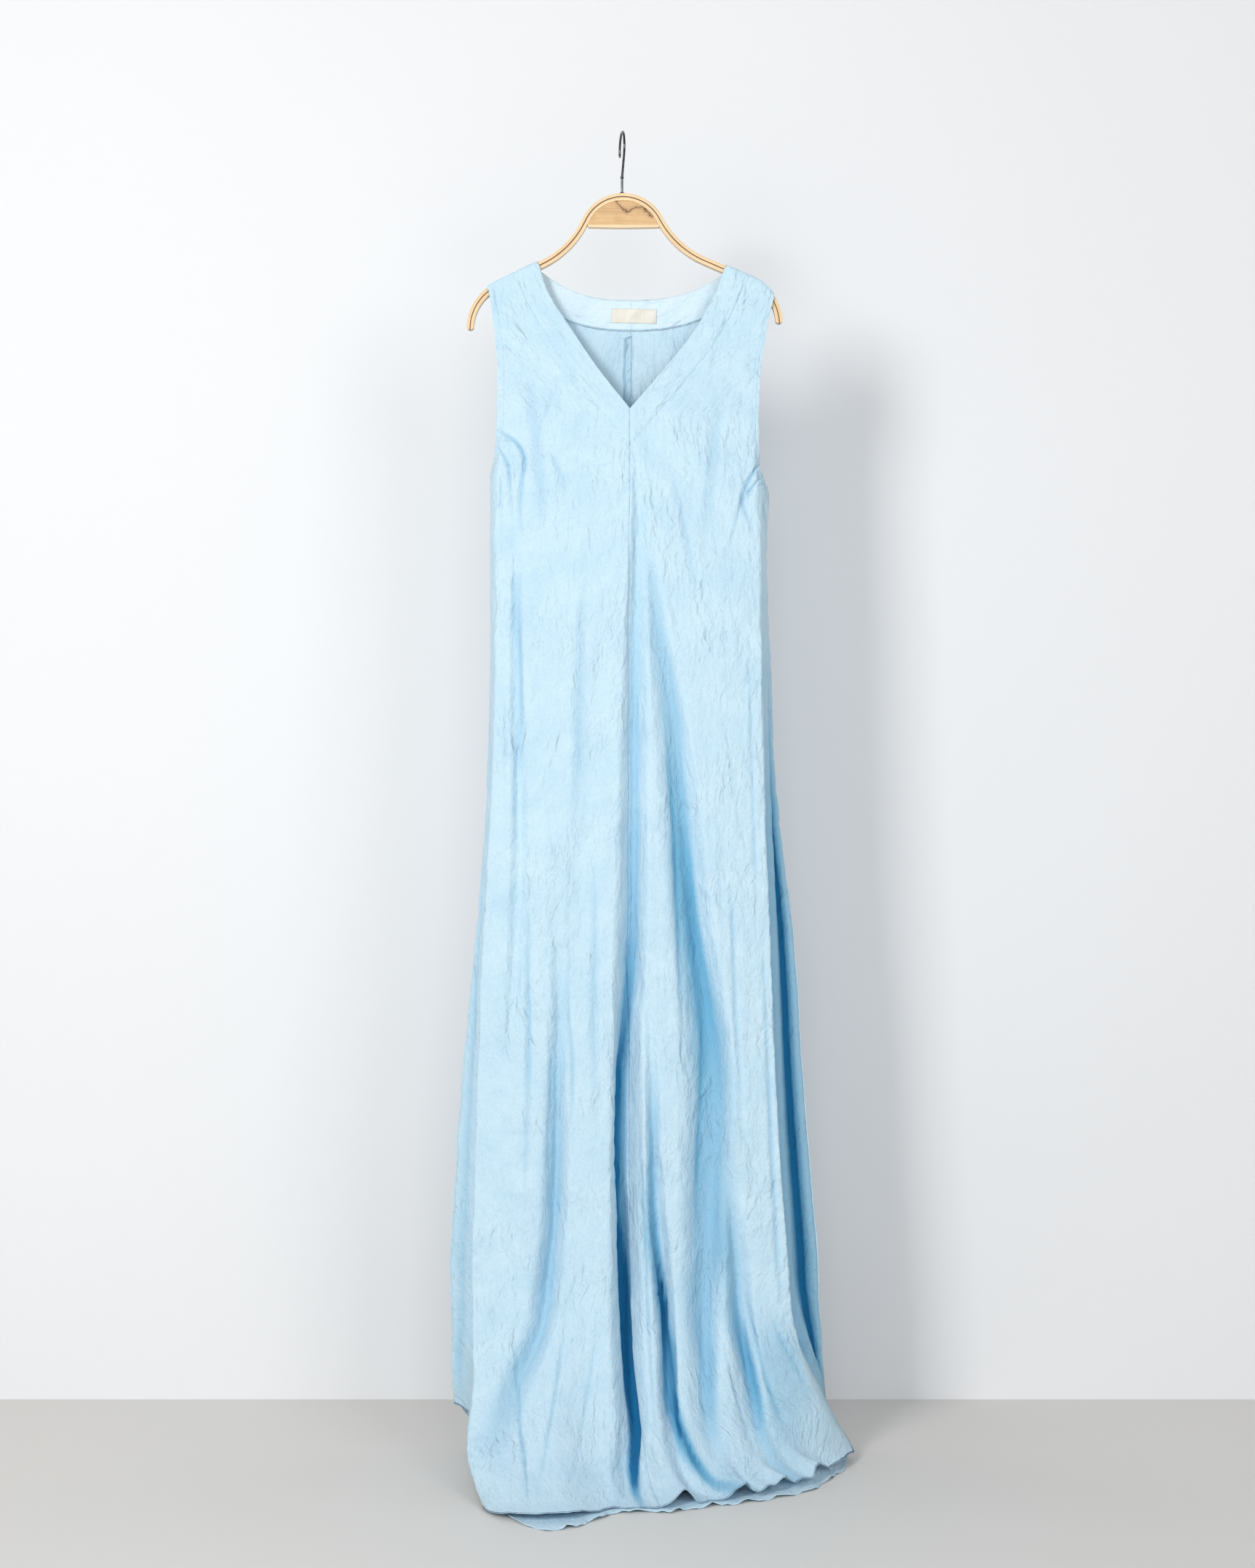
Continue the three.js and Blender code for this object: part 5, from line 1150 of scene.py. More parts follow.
def weave_group():
    """Plain-woven linen: threads, slubs in both directions, soft clouds of colour, and the creases of
    washing, small ones all over and sharper ones in patches. Heights are in metres."""
    tree, nodes, given, out = new_group(
        "linen weave",
        {"Place": (VECTOR, None), "Bias": (FLOAT, 0.785), "Dark": (COLOR, (0.3, 0.6, 0.8, 1)),
         "Light": (COLOR, (0.5, 0.8, 0.9, 1)), "Pitch": (FLOAT, 0.0008), "Crinkle": (FLOAT, 1.0)},
        {"Color": COLOR, "Height": FLOAT},
    )
    place, crinkled = given["Place"], given["Crinkle"]
    turned = nodes.add("ShaderNodeVectorRotate", {"Vector": place, "Angle": given["Bias"]},
                       rotation_type="Z_AXIS").outputs[0]
    wobble = nodes.times(nodes.noise(turned, 300.0, detail=1.0), 0.9)
    threads = [nodes.sine(nodes.times(nodes.plus(nodes.math("DIVIDE", along, given["Pitch"]), wobble), math.pi))
               for along in nodes.axes(turned)[:2]]
    cell = nodes.math("ABSOLUTE", nodes.times(*threads))
    slubs = [nodes.ramp(nodes.noise(turned, stretch=way, rough=0.55), 0.46, 0.78)
             for way in ((1400.0, 85.0, 1.0), (75.0, 1300.0, 1.0))]
    slub = nodes.times(nodes.plus(*slubs), 0.5)
    fine = [nodes.noise(turned, stretch=way, detail=1.0)
            for way in ((2400.0, 260.0, 1.0), (240.0, 2200.0, 1.0))]
    grain = nodes.times(nodes.plus(*fine), 0.5)
    # ribs along one diagonal or the other, in patches, stronger low down the dress; their tone in the colour
    # is partly painted shading of their relief, lighter on their tops
    ribs = [nodes.noise(turned, stretch=way, detail=3.0, rough=0.6)
            for way in ((640.0, 150.0, 1.0), (140.0, 600.0, 1.0))]
    which = nodes.ramp(nodes.noise(place, 17.0), 0.4, 0.6)
    rib = nodes.plus(nodes.times(which, ribs[0]), nodes.times(nodes.minus(1.0, which), ribs[1]))
    low_down = nodes.times(nodes.ramp(nodes.axes(place)[1], -0.7, -1.3, 0.45, 1.0), crinkled)
    tone = nodes.times(nodes.minus(rib, 0.5), low_down)
    cloud = nodes.noise(place, 19.0, detail=5.0, rough=0.62, distortion=0.5)
    # the ribs' tone here is partly painted shading of their relief
    shade = nodes.plus(nodes.times(slub, 0.3), nodes.times(grain, 0.5), nodes.times(cloud, 0.55),
                       nodes.times(cell, 0.08), nodes.times(tone, 0.45))
    nodes.put(out["Color"], nodes.mix(nodes.ramp(shade, 0.2, 0.95), given["Dark"], given["Light"]))
    # soft small waves, and creases that branch, sharper in patches
    crepe = nodes.noise(turned, 110.0, (1.0, 0.5, 1.0), detail=4.0, rough=0.6, distortion=0.4)
    heights = [nodes.times(tone, 0.00035), nodes.times(crepe, low_down, 0.001)]
    patch = nodes.ramp(nodes.noise(place, 11.0), 0.42, 0.62)
    for scale, squeeze, width, lift in ((32.0, 0.36, 0.12, 0.0014), (75.0, 0.42, 0.11, 0.0007)):
        ridged = nodes.noise(place, scale, (1.0, squeeze, 1.0), detail=2.5, distortion=0.35)
        ridged = nodes.ramp(nodes.math("ABSOLUTE", nodes.minus(ridged, 0.5)), 0.0, width, lift, 0.0)
        heights.append(nodes.times(ridged, nodes.plus(nodes.times(patch, 0.6), 0.35), crinkled))
    washed = nodes.noise(place, 250.0, (1.0, 0.45, 1.0), detail=3.0, rough=0.6, distortion=0.2)
    heights += [nodes.times(washed, crinkled, 0.0013), nodes.times(slub, 0.00008), nodes.times(grain, 0.00009),
                nodes.times(cell, 0.00006)]
    nodes.put(out["Height"], nodes.plus(*heights))
    return tree


def grain_group():
    """Wood grain along the first axis of its place, with pores and soft bands."""
    tree, nodes, given, out = new_group(
        "wood grain",
        {"Place": (VECTOR, None), "Dark": (COLOR, (0.5, 0.3, 0.15, 1)), "Light": (COLOR, (0.9, 0.7, 0.45, 1)),
         "Bands": (FLOAT, 1.0)},
        {"Color": COLOR, "Height": FLOAT},
    )
    place = given["Place"]
    streak = nodes.noise(place, stretch=(14.0, 700.0, 700.0), detail=4.0, rough=0.6, distortion=0.3)
    band = nodes.noise(place, stretch=(6.0, 120.0, 120.0), distortion=0.5)
    pores = nodes.ramp(nodes.noise(place, stretch=(90.0, 2600.0, 2600.0), detail=1.0), 0.62, 0.7)
    shade = nodes.plus(nodes.times(streak, 0.55), nodes.times(band, 0.6, given["Bands"]))
    color = nodes.mix(nodes.ramp(shade, 0.3, 0.8), given["Dark"], given["Light"])
    nodes.put(out["Color"], nodes.mix(nodes.times(pores, 0.35), color, given["Dark"]))
    nodes.put(out["Height"], nodes.minus(nodes.times(streak, 0.00005), nodes.times(pores, 0.00006)))
    return tree


WEAVE = weave_group()
GRAIN = grain_group()


def new_material(name, **values):
    """A material with one Principled shader, whose plain values are set on its own sockets."""
    material = bpy.data.materials.new(name)
    material.use_nodes = True
    shader = material.node_tree.nodes["Principled BSDF"]
    for socket, value in values.items():
        shader.inputs[socket.replace("_", " ")].default_value = value
    return material, Nodes(material.node_tree), shader


def bump(nodes, shader, height):
    made = nodes.add("ShaderNodeBump", {"Height": height, "Strength": 1.0, "Distance": 1.0})
    nodes.put(shader.inputs["Normal"], made.outputs["Normal"])


def on_object(nodes):
    return nodes.add("ShaderNodeTexCoord").outputs["Object"]


def on_map(nodes):
    return nodes.add("ShaderNodeUVMap", uv_map="UVMap").outputs[0]


HALF_SHADE_AT = 0.7  # the painted shade at which the cloth has its half shaded colour


def linen(name, dark, light, half_shade_color, full_shade_color, crinkle=1.0, bias=0.785):
    """Washed linen. Its third and fourth colours are painted shade: its colours inside the folds, half and
    fully shaded, where the cloth is shaded and lit by itself.
    """
    material, nodes, shader = new_material(name, Roughness=0.86, Sheen_Weight=0.22, Sheen_Roughness=0.45,
                                           Sheen_Tint=(0.86, 0.94, 1.0, 1), Specular_IOR_Level=0.22)
    given = {"Place": on_map(nodes), "Bias": bias, "Dark": dark, "Light": light, "Crinkle": crinkle}
    weave = nodes.add("ShaderNodeGroup", given, node_tree=WEAVE).outputs
    # painted shade: darkens and blues the weave's colour in folds, creases, side flaps and the shoulders' roll
    hollow = nodes.add("ShaderNodeAttribute", attribute_name="hollow").outputs["Fac"]
    color = nodes.mix(nodes.times(hollow, 1 / HALF_SHADE_AT), weave["Color"], half_shade_color)
    nodes.put(shader.inputs["Base Color"], nodes.mix(nodes.ramp(hollow, HALF_SHADE_AT, 1.0), color, full_shade_color))
    bump(nodes, shader, weave["Height"])
    return material


def thread(name, dark, light):
    """Sewing thread, lighter and darker along its twist."""
    material, nodes, shader = new_material(name, Roughness=0.6, Sheen_Weight=0.2)
    twist = nodes.noise(on_object(nodes), 900.0)
    nodes.put(shader.inputs["Base Color"], nodes.mix(nodes.ramp(twist, 0.35, 0.65), dark, light))
    bump(nodes, shader, nodes.times(twist, 0.0001))
    return material


def grained(nodes, place, dark, light, bands):
    """The grain's outputs, with its colours and how strong its bands are."""
    given = {"Place": place, "Dark": dark, "Light": light, "Bands": bands}
    return nodes.add("ShaderNodeGroup", given, node_tree=GRAIN).outputs


def wood(name, dark, light, bands, roughness, coat):
    material, nodes, shader = new_material(name, Roughness=roughness, Coat_Weight=coat, Coat_Roughness=0.25)
    place = nodes.add("ShaderNodeAttribute", attribute_name="grain").outputs["Vector"]
    grain = grained(nodes, place, dark, light, bands)
    nodes.put(shader.inputs["Base Color"], grain["Color"])
    bump(nodes, shader, grain["Height"])
    return material


# The dark line in the infill's wood, from the top to the left: x and z in metres
BURL = ((-0.0096, -0.083), (-0.0037, -0.0925), (0.0064, -0.1004), (0.0163, -0.0953), (0.0262, -0.0934),
        (0.034, -0.1026), (0.039, -0.108))


def burl_distance(nodes, place):
    """How far each place is from the infill's dark line, which wanders a little."""
    bend = nodes.noise(place, 170.0, detail=3.0, kind="Color")
    bend = nodes.vector("SUBTRACT", bend, (0.5, 0.5, 0.5))
    x_at, _, z_at = nodes.axes(nodes.vector("ADD", nodes.vector("MULTIPLY", bend, (0.007, 0.0, 0.007)), place))
    far = []
    for (x, z), (next_x, next_z) in zip(BURL, BURL[1:]):
        run_x, run_z = next_x - x, next_z - z
        off_x, off_z = nodes.minus(x_at, x), nodes.minus(z_at, z)
        along = nodes.plus(nodes.times(off_x, run_x), nodes.times(off_z, run_z))
        along = nodes.math("DIVIDE", along, run_x ** 2 + run_z ** 2)
        along = nodes.math("MINIMUM", nodes.math("MAXIMUM", along, 0.0), 1.0)
        left_x = nodes.minus(off_x, nodes.times(along, run_x))
        left_z = nodes.minus(off_z, nodes.times(along, run_z))
        far.append(nodes.math("SQRT", nodes.plus(nodes.times(left_x, left_x), nodes.times(left_z, left_z))))
    return reduce(lambda one, other: nodes.math("MINIMUM", one, other), far)


def figured_wood():
    """The infill's wood: pale, with a dark wandering line, a stain beside it and a lighter lower lip."""
    material, nodes, shader = new_material("figured maple", Roughness=0.42, Coat_Weight=0.35,
                                           Coat_Roughness=0.22)
    place = on_object(nodes)
    grain = grained(nodes, place, (0.45, 0.25, 0.1, 1), (0.74, 0.47, 0.22, 1), 1.3)
    near = burl_distance(nodes, place)
    line = nodes.ramp(near, 0.0017, 0.0005)
    stain = nodes.ramp(near, 0.006, 0.0008)
    patchy = nodes.ramp(nodes.noise(place, 110.0), 0.3, 0.6)
    dark = nodes.plus(nodes.times(line, 0.62), nodes.times(stain, patchy, 0.38))
    cloudy = nodes.ramp(nodes.noise(place, 38.0, detail=3.0), 0.5, 0.75)
    color = nodes.mix(nodes.times(cloudy, 0.35), grain["Color"], (0.46, 0.24, 0.09, 1))
    color = nodes.mix(dark, color, (0.17, 0.07, 0.022, 1))
    lip = nodes.ramp(nodes.axes(place)[2], INFILL_BOTTOM * MM + 0.0032, INFILL_BOTTOM * MM + 0.0022)
    nodes.put(shader.inputs["Base Color"], nodes.mix(nodes.times(lip, 0.8), color, (0.9, 0.68, 0.42, 1)))
    bump(nodes, shader, grain["Height"])
    return material


def steel():
    material, nodes, shader = new_material("polished steel", Metallic=1.0)
    drawn = nodes.noise(on_object(nodes), stretch=(900.0, 900.0, 60.0), detail=3.0)
    nodes.put(shader.inputs["Roughness"], nodes.ramp(drawn, 0.3, 0.7, 0.12, 0.26))
    tint = nodes.mix(nodes.ramp(drawn, 0.35, 0.75), (0.05, 0.05, 0.055, 1), (0.2, 0.2, 0.205, 1))
    nodes.put(shader.inputs["Base Color"], tint)
    return material


def tape():
    """The label's tape: cream satin with fine ribs across it."""
    material, nodes, shader = new_material("cream tape", Roughness=0.55, Sheen_Weight=0.3)
    place = on_map(nodes)
    along, down, _ = nodes.axes(place)
    ribs = nodes.sine(nodes.times(down, 2 * math.pi / 0.0007))
    threads = nodes.sine(nodes.times(along, 2 * math.pi / 0.0005))
    cloud = nodes.noise(place, 60.0, detail=3.0)
    shade = nodes.ramp(nodes.plus(nodes.times(ribs, 0.12), nodes.times(threads, 0.06), cloud), 0.2, 0.8)
    nodes.put(shader.inputs["Base Color"], nodes.mix(shade, (0.74, 0.7, 0.6, 1), (0.88, 0.86, 0.79, 1)))
    bump(nodes, shader, nodes.plus(nodes.times(ribs, 0.00004), nodes.times(threads, 0.00002),
                                   nodes.times(cloud, 0.0006)))
    return material


# The last two colours of each linen are painted shade for its folds
OUTER_LINEN = linen("pale blue linen", dark=(0.45, 0.68, 0.83, 1), light=(0.67, 0.84, 0.94, 1),
                    half_shade_color=(0.17, 0.45, 0.66, 1), full_shade_color=(0.008, 0.17, 0.37, 1))
# The inner linen is paler than the outer linen: painted light, for light that comes through the thin cloth
INNER_LINEN = linen("linen facing", dark=(0.56, 0.77, 0.89, 1), light=(0.78, 0.9, 0.97, 1),
                    half_shade_color=(0.2, 0.5, 0.72, 1), full_shade_color=(0.1, 0.38, 0.66, 1), crinkle=0.8, bias=0.0)
STRIP_LINEN = linen("linen seam edge", dark=(0.38, 0.61, 0.77, 1), light=(0.54, 0.76, 0.89, 1),
                    half_shade_color=(0.2, 0.5, 0.72, 1), full_shade_color=(0.1, 0.38, 0.66, 1), crinkle=1.3, bias=0.2)
PALE_THREAD = thread("pale blue thread", (0.36, 0.6, 0.76, 1), (0.5, 0.74, 0.88, 1))
GREY_THREAD = thread("grey blue thread", (0.24, 0.44, 0.58, 1), (0.42, 0.63, 0.76, 1))
# The dark blue thread on the front's hem is partly painted shadow along the front layer's edge
DARK_THREAD_AND_HEM_SHADOW = thread("dark blue thread", (0.02, 0.06, 0.14, 1), (0.06, 0.13, 0.25, 1))
MAPLE = wood("maple ply", (0.72, 0.47, 0.24, 1), (0.92, 0.7, 0.42, 1), bands=0.8, roughness=0.38, coat=0.4)
WALNUT = wood("dark ply", (0.06, 0.024, 0.01, 1), (0.17, 0.075, 0.03, 1), bands=1.0, roughness=0.5, coat=0.2)
FIGURED = figured_wood()
STEEL = steel()
TAPE = tape()

# The dress

panels = {}
for side in (RIGHT, LEFT):
    for back in (False, True):
        panels[side.name, back] = Panel(side, back)
other = {"right": "left", "left": "right"}
for (name, back), panel in panels.items():
    panel.find_normals(panels[other[name], back], panels[name, not back])
for panel in panels.values():
    panel.add_fine()


# How far the front's hem stands over or under its plain curve at each x: it lies nearly flat on the
# right, and stands in waves on the left, none as long as the next
FRONT_HEM_LIFT = Table(
    "x lift",
    (-215, 0), (-160, -3), (-110, -1), (-60, 0), (-28, -7), (0, -8), (36, -8), (58, -2), (74, 9), (82, 3),
    (92, -7), (120, -9), (140, 3), (149, 9), (156, -2), (166, -9), (182, -6), (196, 9), (202, 2), (210, -8),
    (226, -6), (240, 10), (247, 2), (256, -6), (272, 6), (300, 3),
)
FRONT_HEM_OUT = Table("x out", (-215, 0), (-140, 2), (-100, 6), (-66, 6), (-36, 2), (-10, 2), (40, 3), (300, 0))
BACK_HEM_OUT = Table("x out", (-215, 0), (-150, 8), (-100, 13), (-50, 15), (-20, 6), (20, 4), (60, 7),
                     (110, 10), (150, 4), (190, 9), (230, 5), (300, 4))
LYING_FROM, LYING_TOP = -150.0, 1.5  # where the back lies under the front, and how high it is there
HEM_CLEAR = 3.2  # of the front's hem over the floor, with the back's hem between them
BULGE_ROW, BULGE_ROWS, BULGE_U, BULGE = HEM - 0.3, 0.2, 0.13, 13.0  # of the front's right edge, over its hem
FRONT_WANDER, BACK_WANDER = 1.2, 1.9


def ragged_hem(panel):
    """Moves the last rows of a panel, so that its cut edge wanders and stands in uneven waves."""
    p = panel.points
    down = unit(p[-1] - p[-4])
    s = p[-1, :, 0] + 0.6 * p[-1, :, 1]
    wander = 1.6 * np.sin(s / 17.0) + 1.1 * np.sin(s / 7.3 + 1.0) + 0.6 * np.sin(s / 2.9)
    out = (BACK_HEM_OUT if panel.back else FRONT_HEM_OUT).read("out", p[-1, :, 0])
    on_floor = smoothstep(-20, -60, p[-1, :, 1]) if panel.side.sign < 0 else smoothstep(20, -20, p[-1, :, 1])
    wander = wander * (BACK_WANDER if panel.back else FRONT_WANDER) + on_floor * out
    share = smoothstep(HEM - 0.22, HEM, ROWS)
    panel.points = p + down[None] * (wander[None, :] * share[:, None])[..., None]
    if panel.back:
        # where it lies on the floor it stays under the front, and its free edge curls up in short points
        z = panel.points[..., 2]
        under = (panel.points[..., 1] < LYING_FROM) & (ROWS > HEM - 0.45)[:, None]
        lift = 3.4 * np.abs(np.sin(s / 17.0)) ** 5 + 1.8 * np.abs(np.sin(s / 7.7 + 2.0)) ** 4
        panel.points[..., 2] = np.where(under, np.minimum(z, FLOOR + LYING_TOP), z)
        panel.points[..., 2] += lift[None, :] * smoothstep(HEM - 0.03, HEM, ROWS)[:, None]
    else:
        lift = FRONT_HEM_LIFT.read("lift", p[-1, :, 0]) * on_floor
        panel.points[..., 2] += lift[None, :] * smoothstep(HEM - 0.45, HEM, ROWS)[:, None] ** 1.5
        if panel.side is RIGHT:
            over_rows = np.exp(-((ROWS - BULGE_ROW) / BULGE_ROWS) ** 2) * smoothstep(HEM, HEM - 0.12, ROWS)
            over_u = np.exp(-((panel.u - EDGE_U) / BULGE_U) ** 2)
            panel.points[..., 0] -= BULGE * over_rows[:, None] * over_u[None, :]
    panel.keep_over(CLOTH / 2 + BACK_CLEAR if panel.back else HEM_CLEAR)


# Painted shade in creases, folds, the shoulders' roll and the flaps beside the front's pressed edges
CREASE_FULL, CREASE_PAINTED_SHADE = 3.5, 0.4  # how deep a crease is that gets as much painted shade as creases get
FOLD_FULL, FOLD_PAINTED_SHADE = 30.0, 0.12
ROLL_PAINTED_SHADE = 0.3
VALLEY_PAINTED_SHADE = {"right": 0.2, "left": 1.0}
FLAP_PAINTED_SHADE = {"right": 0.06, "left": 0.42}


def painted_shade_of(panel):
    """0 to 1 at each point: how much painted shade the cloth gets there, in creases, folds, the shoulders'
    roll and side flaps.
    """
    hollow = np.clip(panel.creased / CREASE_FULL, 0, 1) * CREASE_PAINTED_SHADE
    hollow += ROLL_PAINTED_SHADE * smoothstep(ROLLED - 0.3, ROLLED - 0.75, ROWS)[:, None]
    if not panel.back:
        inside = np.abs(panel.across) < 1
        folded = fold_depth(FRONT_FOLDS, panel.across, panel.drop)
        hollow += inside * np.clip(folded / FOLD_FULL, 0, 1) ** 1.5 * FOLD_PAINTED_SHADE
        hollow += fold_shade(panel.across, panel.drop)
        hollow += panel.flap(VALLEY_U, VALLEY_WIDTH) * VALLEY_PAINTED_SHADE[panel.side.name]
        turned = smoothstep(EDGE_U + 0.02, EDGE_U + 0.07, panel.u)[None, :] * smoothstep(500, 900, panel.drop)
        hollow += turned * FLAP_PAINTED_SHADE[panel.side.name]
    return np.clip(hollow, 0, 1)


for panel in panels.values():
    ragged_hem(panel)
    cloth = sheet_from(panel.name + "_cloth", panel.points, panel.normals, CLOTH, panel.flat_places(),
                       painted_shade_of(panel))
    finish_piece(cloth, OUTER_LINEN, "linen", panel.name)


def front_facing(side):
    """A front facing's points, in rows down the V and lanes out from it, and its normals."""
    first = side.neck.keys[0] + FACING_TOP
    steps, lanes = 90, 12
    x_rows, drop_rows = [], []
    for i in range(steps + 1):
        drop = lerp(first, NECK_POINT_DROP, i / steps)
        x = side.neck.read("x", drop)
        slope = side.neck.read("x", drop + 1) - side.neck.read("x", drop - 1)
        out_x = 0 if i == steps else 2 * side.sign / math.hypot(2, slope)
        out_z = MITRE if i == steps else abs(slope) / math.hypot(2, slope)
        w = SEAM_GAP + FACING_WIDTH * np.linspace(0, 1, lanes + 1)
        lower = drop + out_z * w
        middle = middle_x(False, lower)
        x_rows.append(middle + side.sign * np.maximum(side.sign * (x + out_x * w - middle), FACING_APART))
        drop_rows.append(lower)
    return on_layer(False, np.array(x_rows), np.array(drop_rows), FACING_OFFSET)


def back_facing():
    """The back facing's points, from one shoulder to the other, and its normals."""
    steps, lanes = 150, 14
    middle = middle_x(True, BACK_NECK_DROP)
    x_rows, drop_rows = [], []
    for turn in np.linspace(-1, 1, steps + 1):
        side = RIGHT if turn < 0 else LEFT
        x = lerp(middle, side.neck_point, BACK_FACING_SPAN * math.sin(abs(turn) * math.pi / 2))
        ends = [back_neckline(RIGHT if q < middle else LEFT, q, middle) for q in (x - 0.1, x + 0.1)]
        slope = (ends[1] - ends[0]) / 0.2
        length = math.hypot(1, slope)
        width = lerp(BACK_FACING_WIDTH, FACING_WIDTH, turn * turn)
        w = SEAM_GAP + width * np.linspace(0, 1, lanes + 1)
        x_rows.append(x - slope * w / length)
        drop_rows.append(back_neckline(side, x, middle) + w / length)
    return on_layer(True, np.array(x_rows), np.array(drop_rows), FACING_OFFSET)


for side in (RIGHT, LEFT):
    points, normals = front_facing(side)
    name = f"front_{side.name}_neck_facing"
    finish_piece(sheet_from(name + "_cloth", points, normals, LINING), INNER_LINEN, "linen", name)
    edge, into = points[:, -1], points[:, -3] - points[:, -1]
    line = zigzag(edge, normals[:, -1], into, pitch=1.8, width=2.6, radius=0.22, lift=0.4)
    finish_piece(object_from(f"{name}_overlock", *line), GREY_THREAD, "linen")

points, normals = back_facing()
finish_piece(sheet_from("back_neck_facing_cloth", points, normals, LINING), INNER_LINEN, "linen",
             "back_neck_facing")
edge, into = points[:, -1], points[:, -3] - points[:, -1]
line = zigzag(edge, normals[:, -1], into, pitch=1.7, width=2.8, radius=0.26, lift=0.45)
finish_piece(object_from("back_neck_facing_overlock", *line), GREY_THREAD, "linen")


def label_points(margin=0.0):
    """A grid over the label, inside the back and in from the label's edges, and its normals."""
    across = np.linspace(-0.5, 0.5, 49) * (LABEL_WIDTH - 2 * margin)
    down = np.linspace(-0.5, 0.5, 17) * (LABEL_HEIGHT - 2 * margin)
    a, d = np.meshgrid(across, down)
    x = LABEL_X + a * math.cos(LABEL_TURN) + d * math.sin(LABEL_TURN)
    drop = LABEL_DROP + d * math.cos(LABEL_TURN) - a * math.sin(LABEL_TURN)
    bulge = LABEL_BULGE * np.cos(math.pi * a / LABEL_WIDTH) * np.cos(math.pi * d / LABEL_HEIGHT)
    return on_layer(True, x, drop, LABEL_OFFSET + bulge)


finish_piece(sheet_from("neck_label_tape", *label_points(), LABEL_THICKNESS), TAPE, "label", "neck_label")
points, normals = label_points(LABEL_SEWING_IN)
parts = [stitch_row(points[:, column] + normals[:, column] * 0.3, normals[:, column], 1.7, 0.7, 0.16)
         for column in (0, -1)]
finish_piece(object_from("neck_label_sewing", *joined(parts)), PALE_THREAD, "label")

# The seam allowance inside the middle of the back, pressed to one side, and its overlock
panel = panels["right", True]
covered = (ROWS > NECKED + ALLOWANCE_FROM) & (ROWS <= KNEE)
columns = panel.u <= ALLOWANCE_U + NOT_ZERO
points = panel.points[covered][:, columns]
normals = panel.normals[covered][:, columns]
wave = 0.6 * np.sin(points[:, -1, 2] / 9.0) + 0.5 * np.sin(points[:, -1, 2] / 4.3)
lift = CLOTH / 2 + SEAM_GAP + LINING / 2 + np.linspace(0, 1, points.shape[1])[None, :] * np.abs(wave)[:, None]
points = points + normals * lift[..., None]
points[:, -1, 0] += 0.9 * wave
allowance = sheet_from("centre_back_seam_allowance_cloth", points, normals, LINING)
finish_piece(allowance, STRIP_LINEN, "linen", "centre_back_seam_allowance")
into = points[:, -2] - points[:, -1]
line = zigzag(points[:, -1], normals[:, -1], into, pitch=2.2, width=3.4, radius=0.26, lift=0.5)
finish_piece(object_from("seam_allowance_overlock", *line), GREY_THREAD, "linen")


def armhole_band(name):
    """The band inside an armhole, from the front and back panels' outer columns, joined under the arm."""
    halves = []
    used = (ROWS >= ROLLED) & (ROWS <= UNDER_BAND)
    for back in (False, True):
        panel = panels[name, back]
        columns = panel.u >= EDGE_U - NOT_ZERO
        points = panel.points[used][:, columns]
        normals = panel.normals[used][:, columns]
        halves.append((points + normals * FACING_OFFSET, normals))
    seam = ROWS[used] >= UNDERARM
    for points, _ in halves:
        points[seam, -1] = (halves[0][0][seam, -1] + halves[1][0][seam, -1]) / 2
    front, back = [sheet_from(f"{name}_{i}", *half, LINING) for i, half in enumerate(halves)]
    bpy.ops.object.select_all(action="DESELECT")
    back.select_set(True)
    front.select_set(True)
    bpy.context.view_layer.objects.active = front
    bpy.ops.object.join()
    front.name = f"{name}_armhole_band_cloth"
    return finish_piece(front, INNER_LINEN, "linen", f"{name}_armhole_band")


for name in ("right", "left"):
    armhole_band(name)

# Sewing that shows


def neck_stitch_line(side):
    """The line of the neck's top stitching on the outside of a front panel, and its outward directions."""
    drops = np.linspace(side.neck.keys[0] + 14, NECK_POINT_DROP + 44, 160)
    xs = np.linspace(0, 1, 240)
    line = []
    for drop in drops:
        edge = side.outline.read("edgeX", np.maximum(drop, side.outline.keys[0]))
        x = lerp(middle_x(False, drop), edge, xs)
        away = neckline_distance(side, x, np.full_like(x, drop))
        inner = side.neck.read("x", drop) if drop < NECK_POINT_DROP else middle_x(False, drop)
        away = np.where(side.sign * (x - inner) < 0, -away, away)
        hits = np.where((away[:-1] < STITCH_IN) & (away[1:] >= STITCH_IN))[0]
        if len(hits):
            line.append((x[hits[0]], drop))
    line = np.array(line)
    points, normals = on_layer(False, line[:, 0], line[:, 1], 0.0)
    return points - normals * (CLOTH / 2) + normals * NECK_STITCH_SUNK, -normals


for side in (RIGHT, LEFT):
    sewn = object_from(f"{side.name}_neck_stitching", *stitch_row(*neck_stitch_line(side)))
    finish_piece(sewn, PALE_THREAD, "linen")
    parts = []
    for back in (False, True):
        panel = panels[side.name, back]
        rows = (ROWS > ROLLED + 0.1) & (ROWS < UNDERARM)
        away = panel.to_edge[rows]
        points, normals = panel.points[rows], panel.normals[rows]
        line = np.array([[np.interp(ARM_STITCH_IN, a[::-1], p[::-1, k]) for k in range(3)]
                         for a, p in zip(away, points)])
        out = -normals[:, -6]
        parts.append(stitch_row(line + out * (CLOTH / 2), out))
    sewn = object_from(f"{side.name}_armhole_stitching", *joined(parts))
    finish_piece(sewn, PALE_THREAD, "linen")


FRONT_ENDS, BACK_ENDS, FRAY_SEED = 260, 420, 11


def fray(path, outward, down, count, seed):
    """Loose fibre ends along a cut edge."""
    chance = np.random.default_rng(seed)
    parts = []
    along = unit(np.gradient(path, axis=0))
    for place in chance.uniform(0, len(path) - 1.001, count):
        i = int(place)
        root = lerp(path[i], path[i + 1], place - i)
        way = down[i] + along[i] * chance.normal(0, 0.45) + outward[i] * chance.normal(0, 0.3)
        way /= np.linalg.norm(way)
        long = chance.uniform(0.5, 2.4)
        bend = along[i] * chance.normal(0, 0.25) * long
        line = [root - way * 0.4, root + way * long * 0.5 + bend * 0.3, root + way * long + bend]
        parts.append(tube(line, [0.13, 0.11, 0.05], 3))
    return joined(parts)


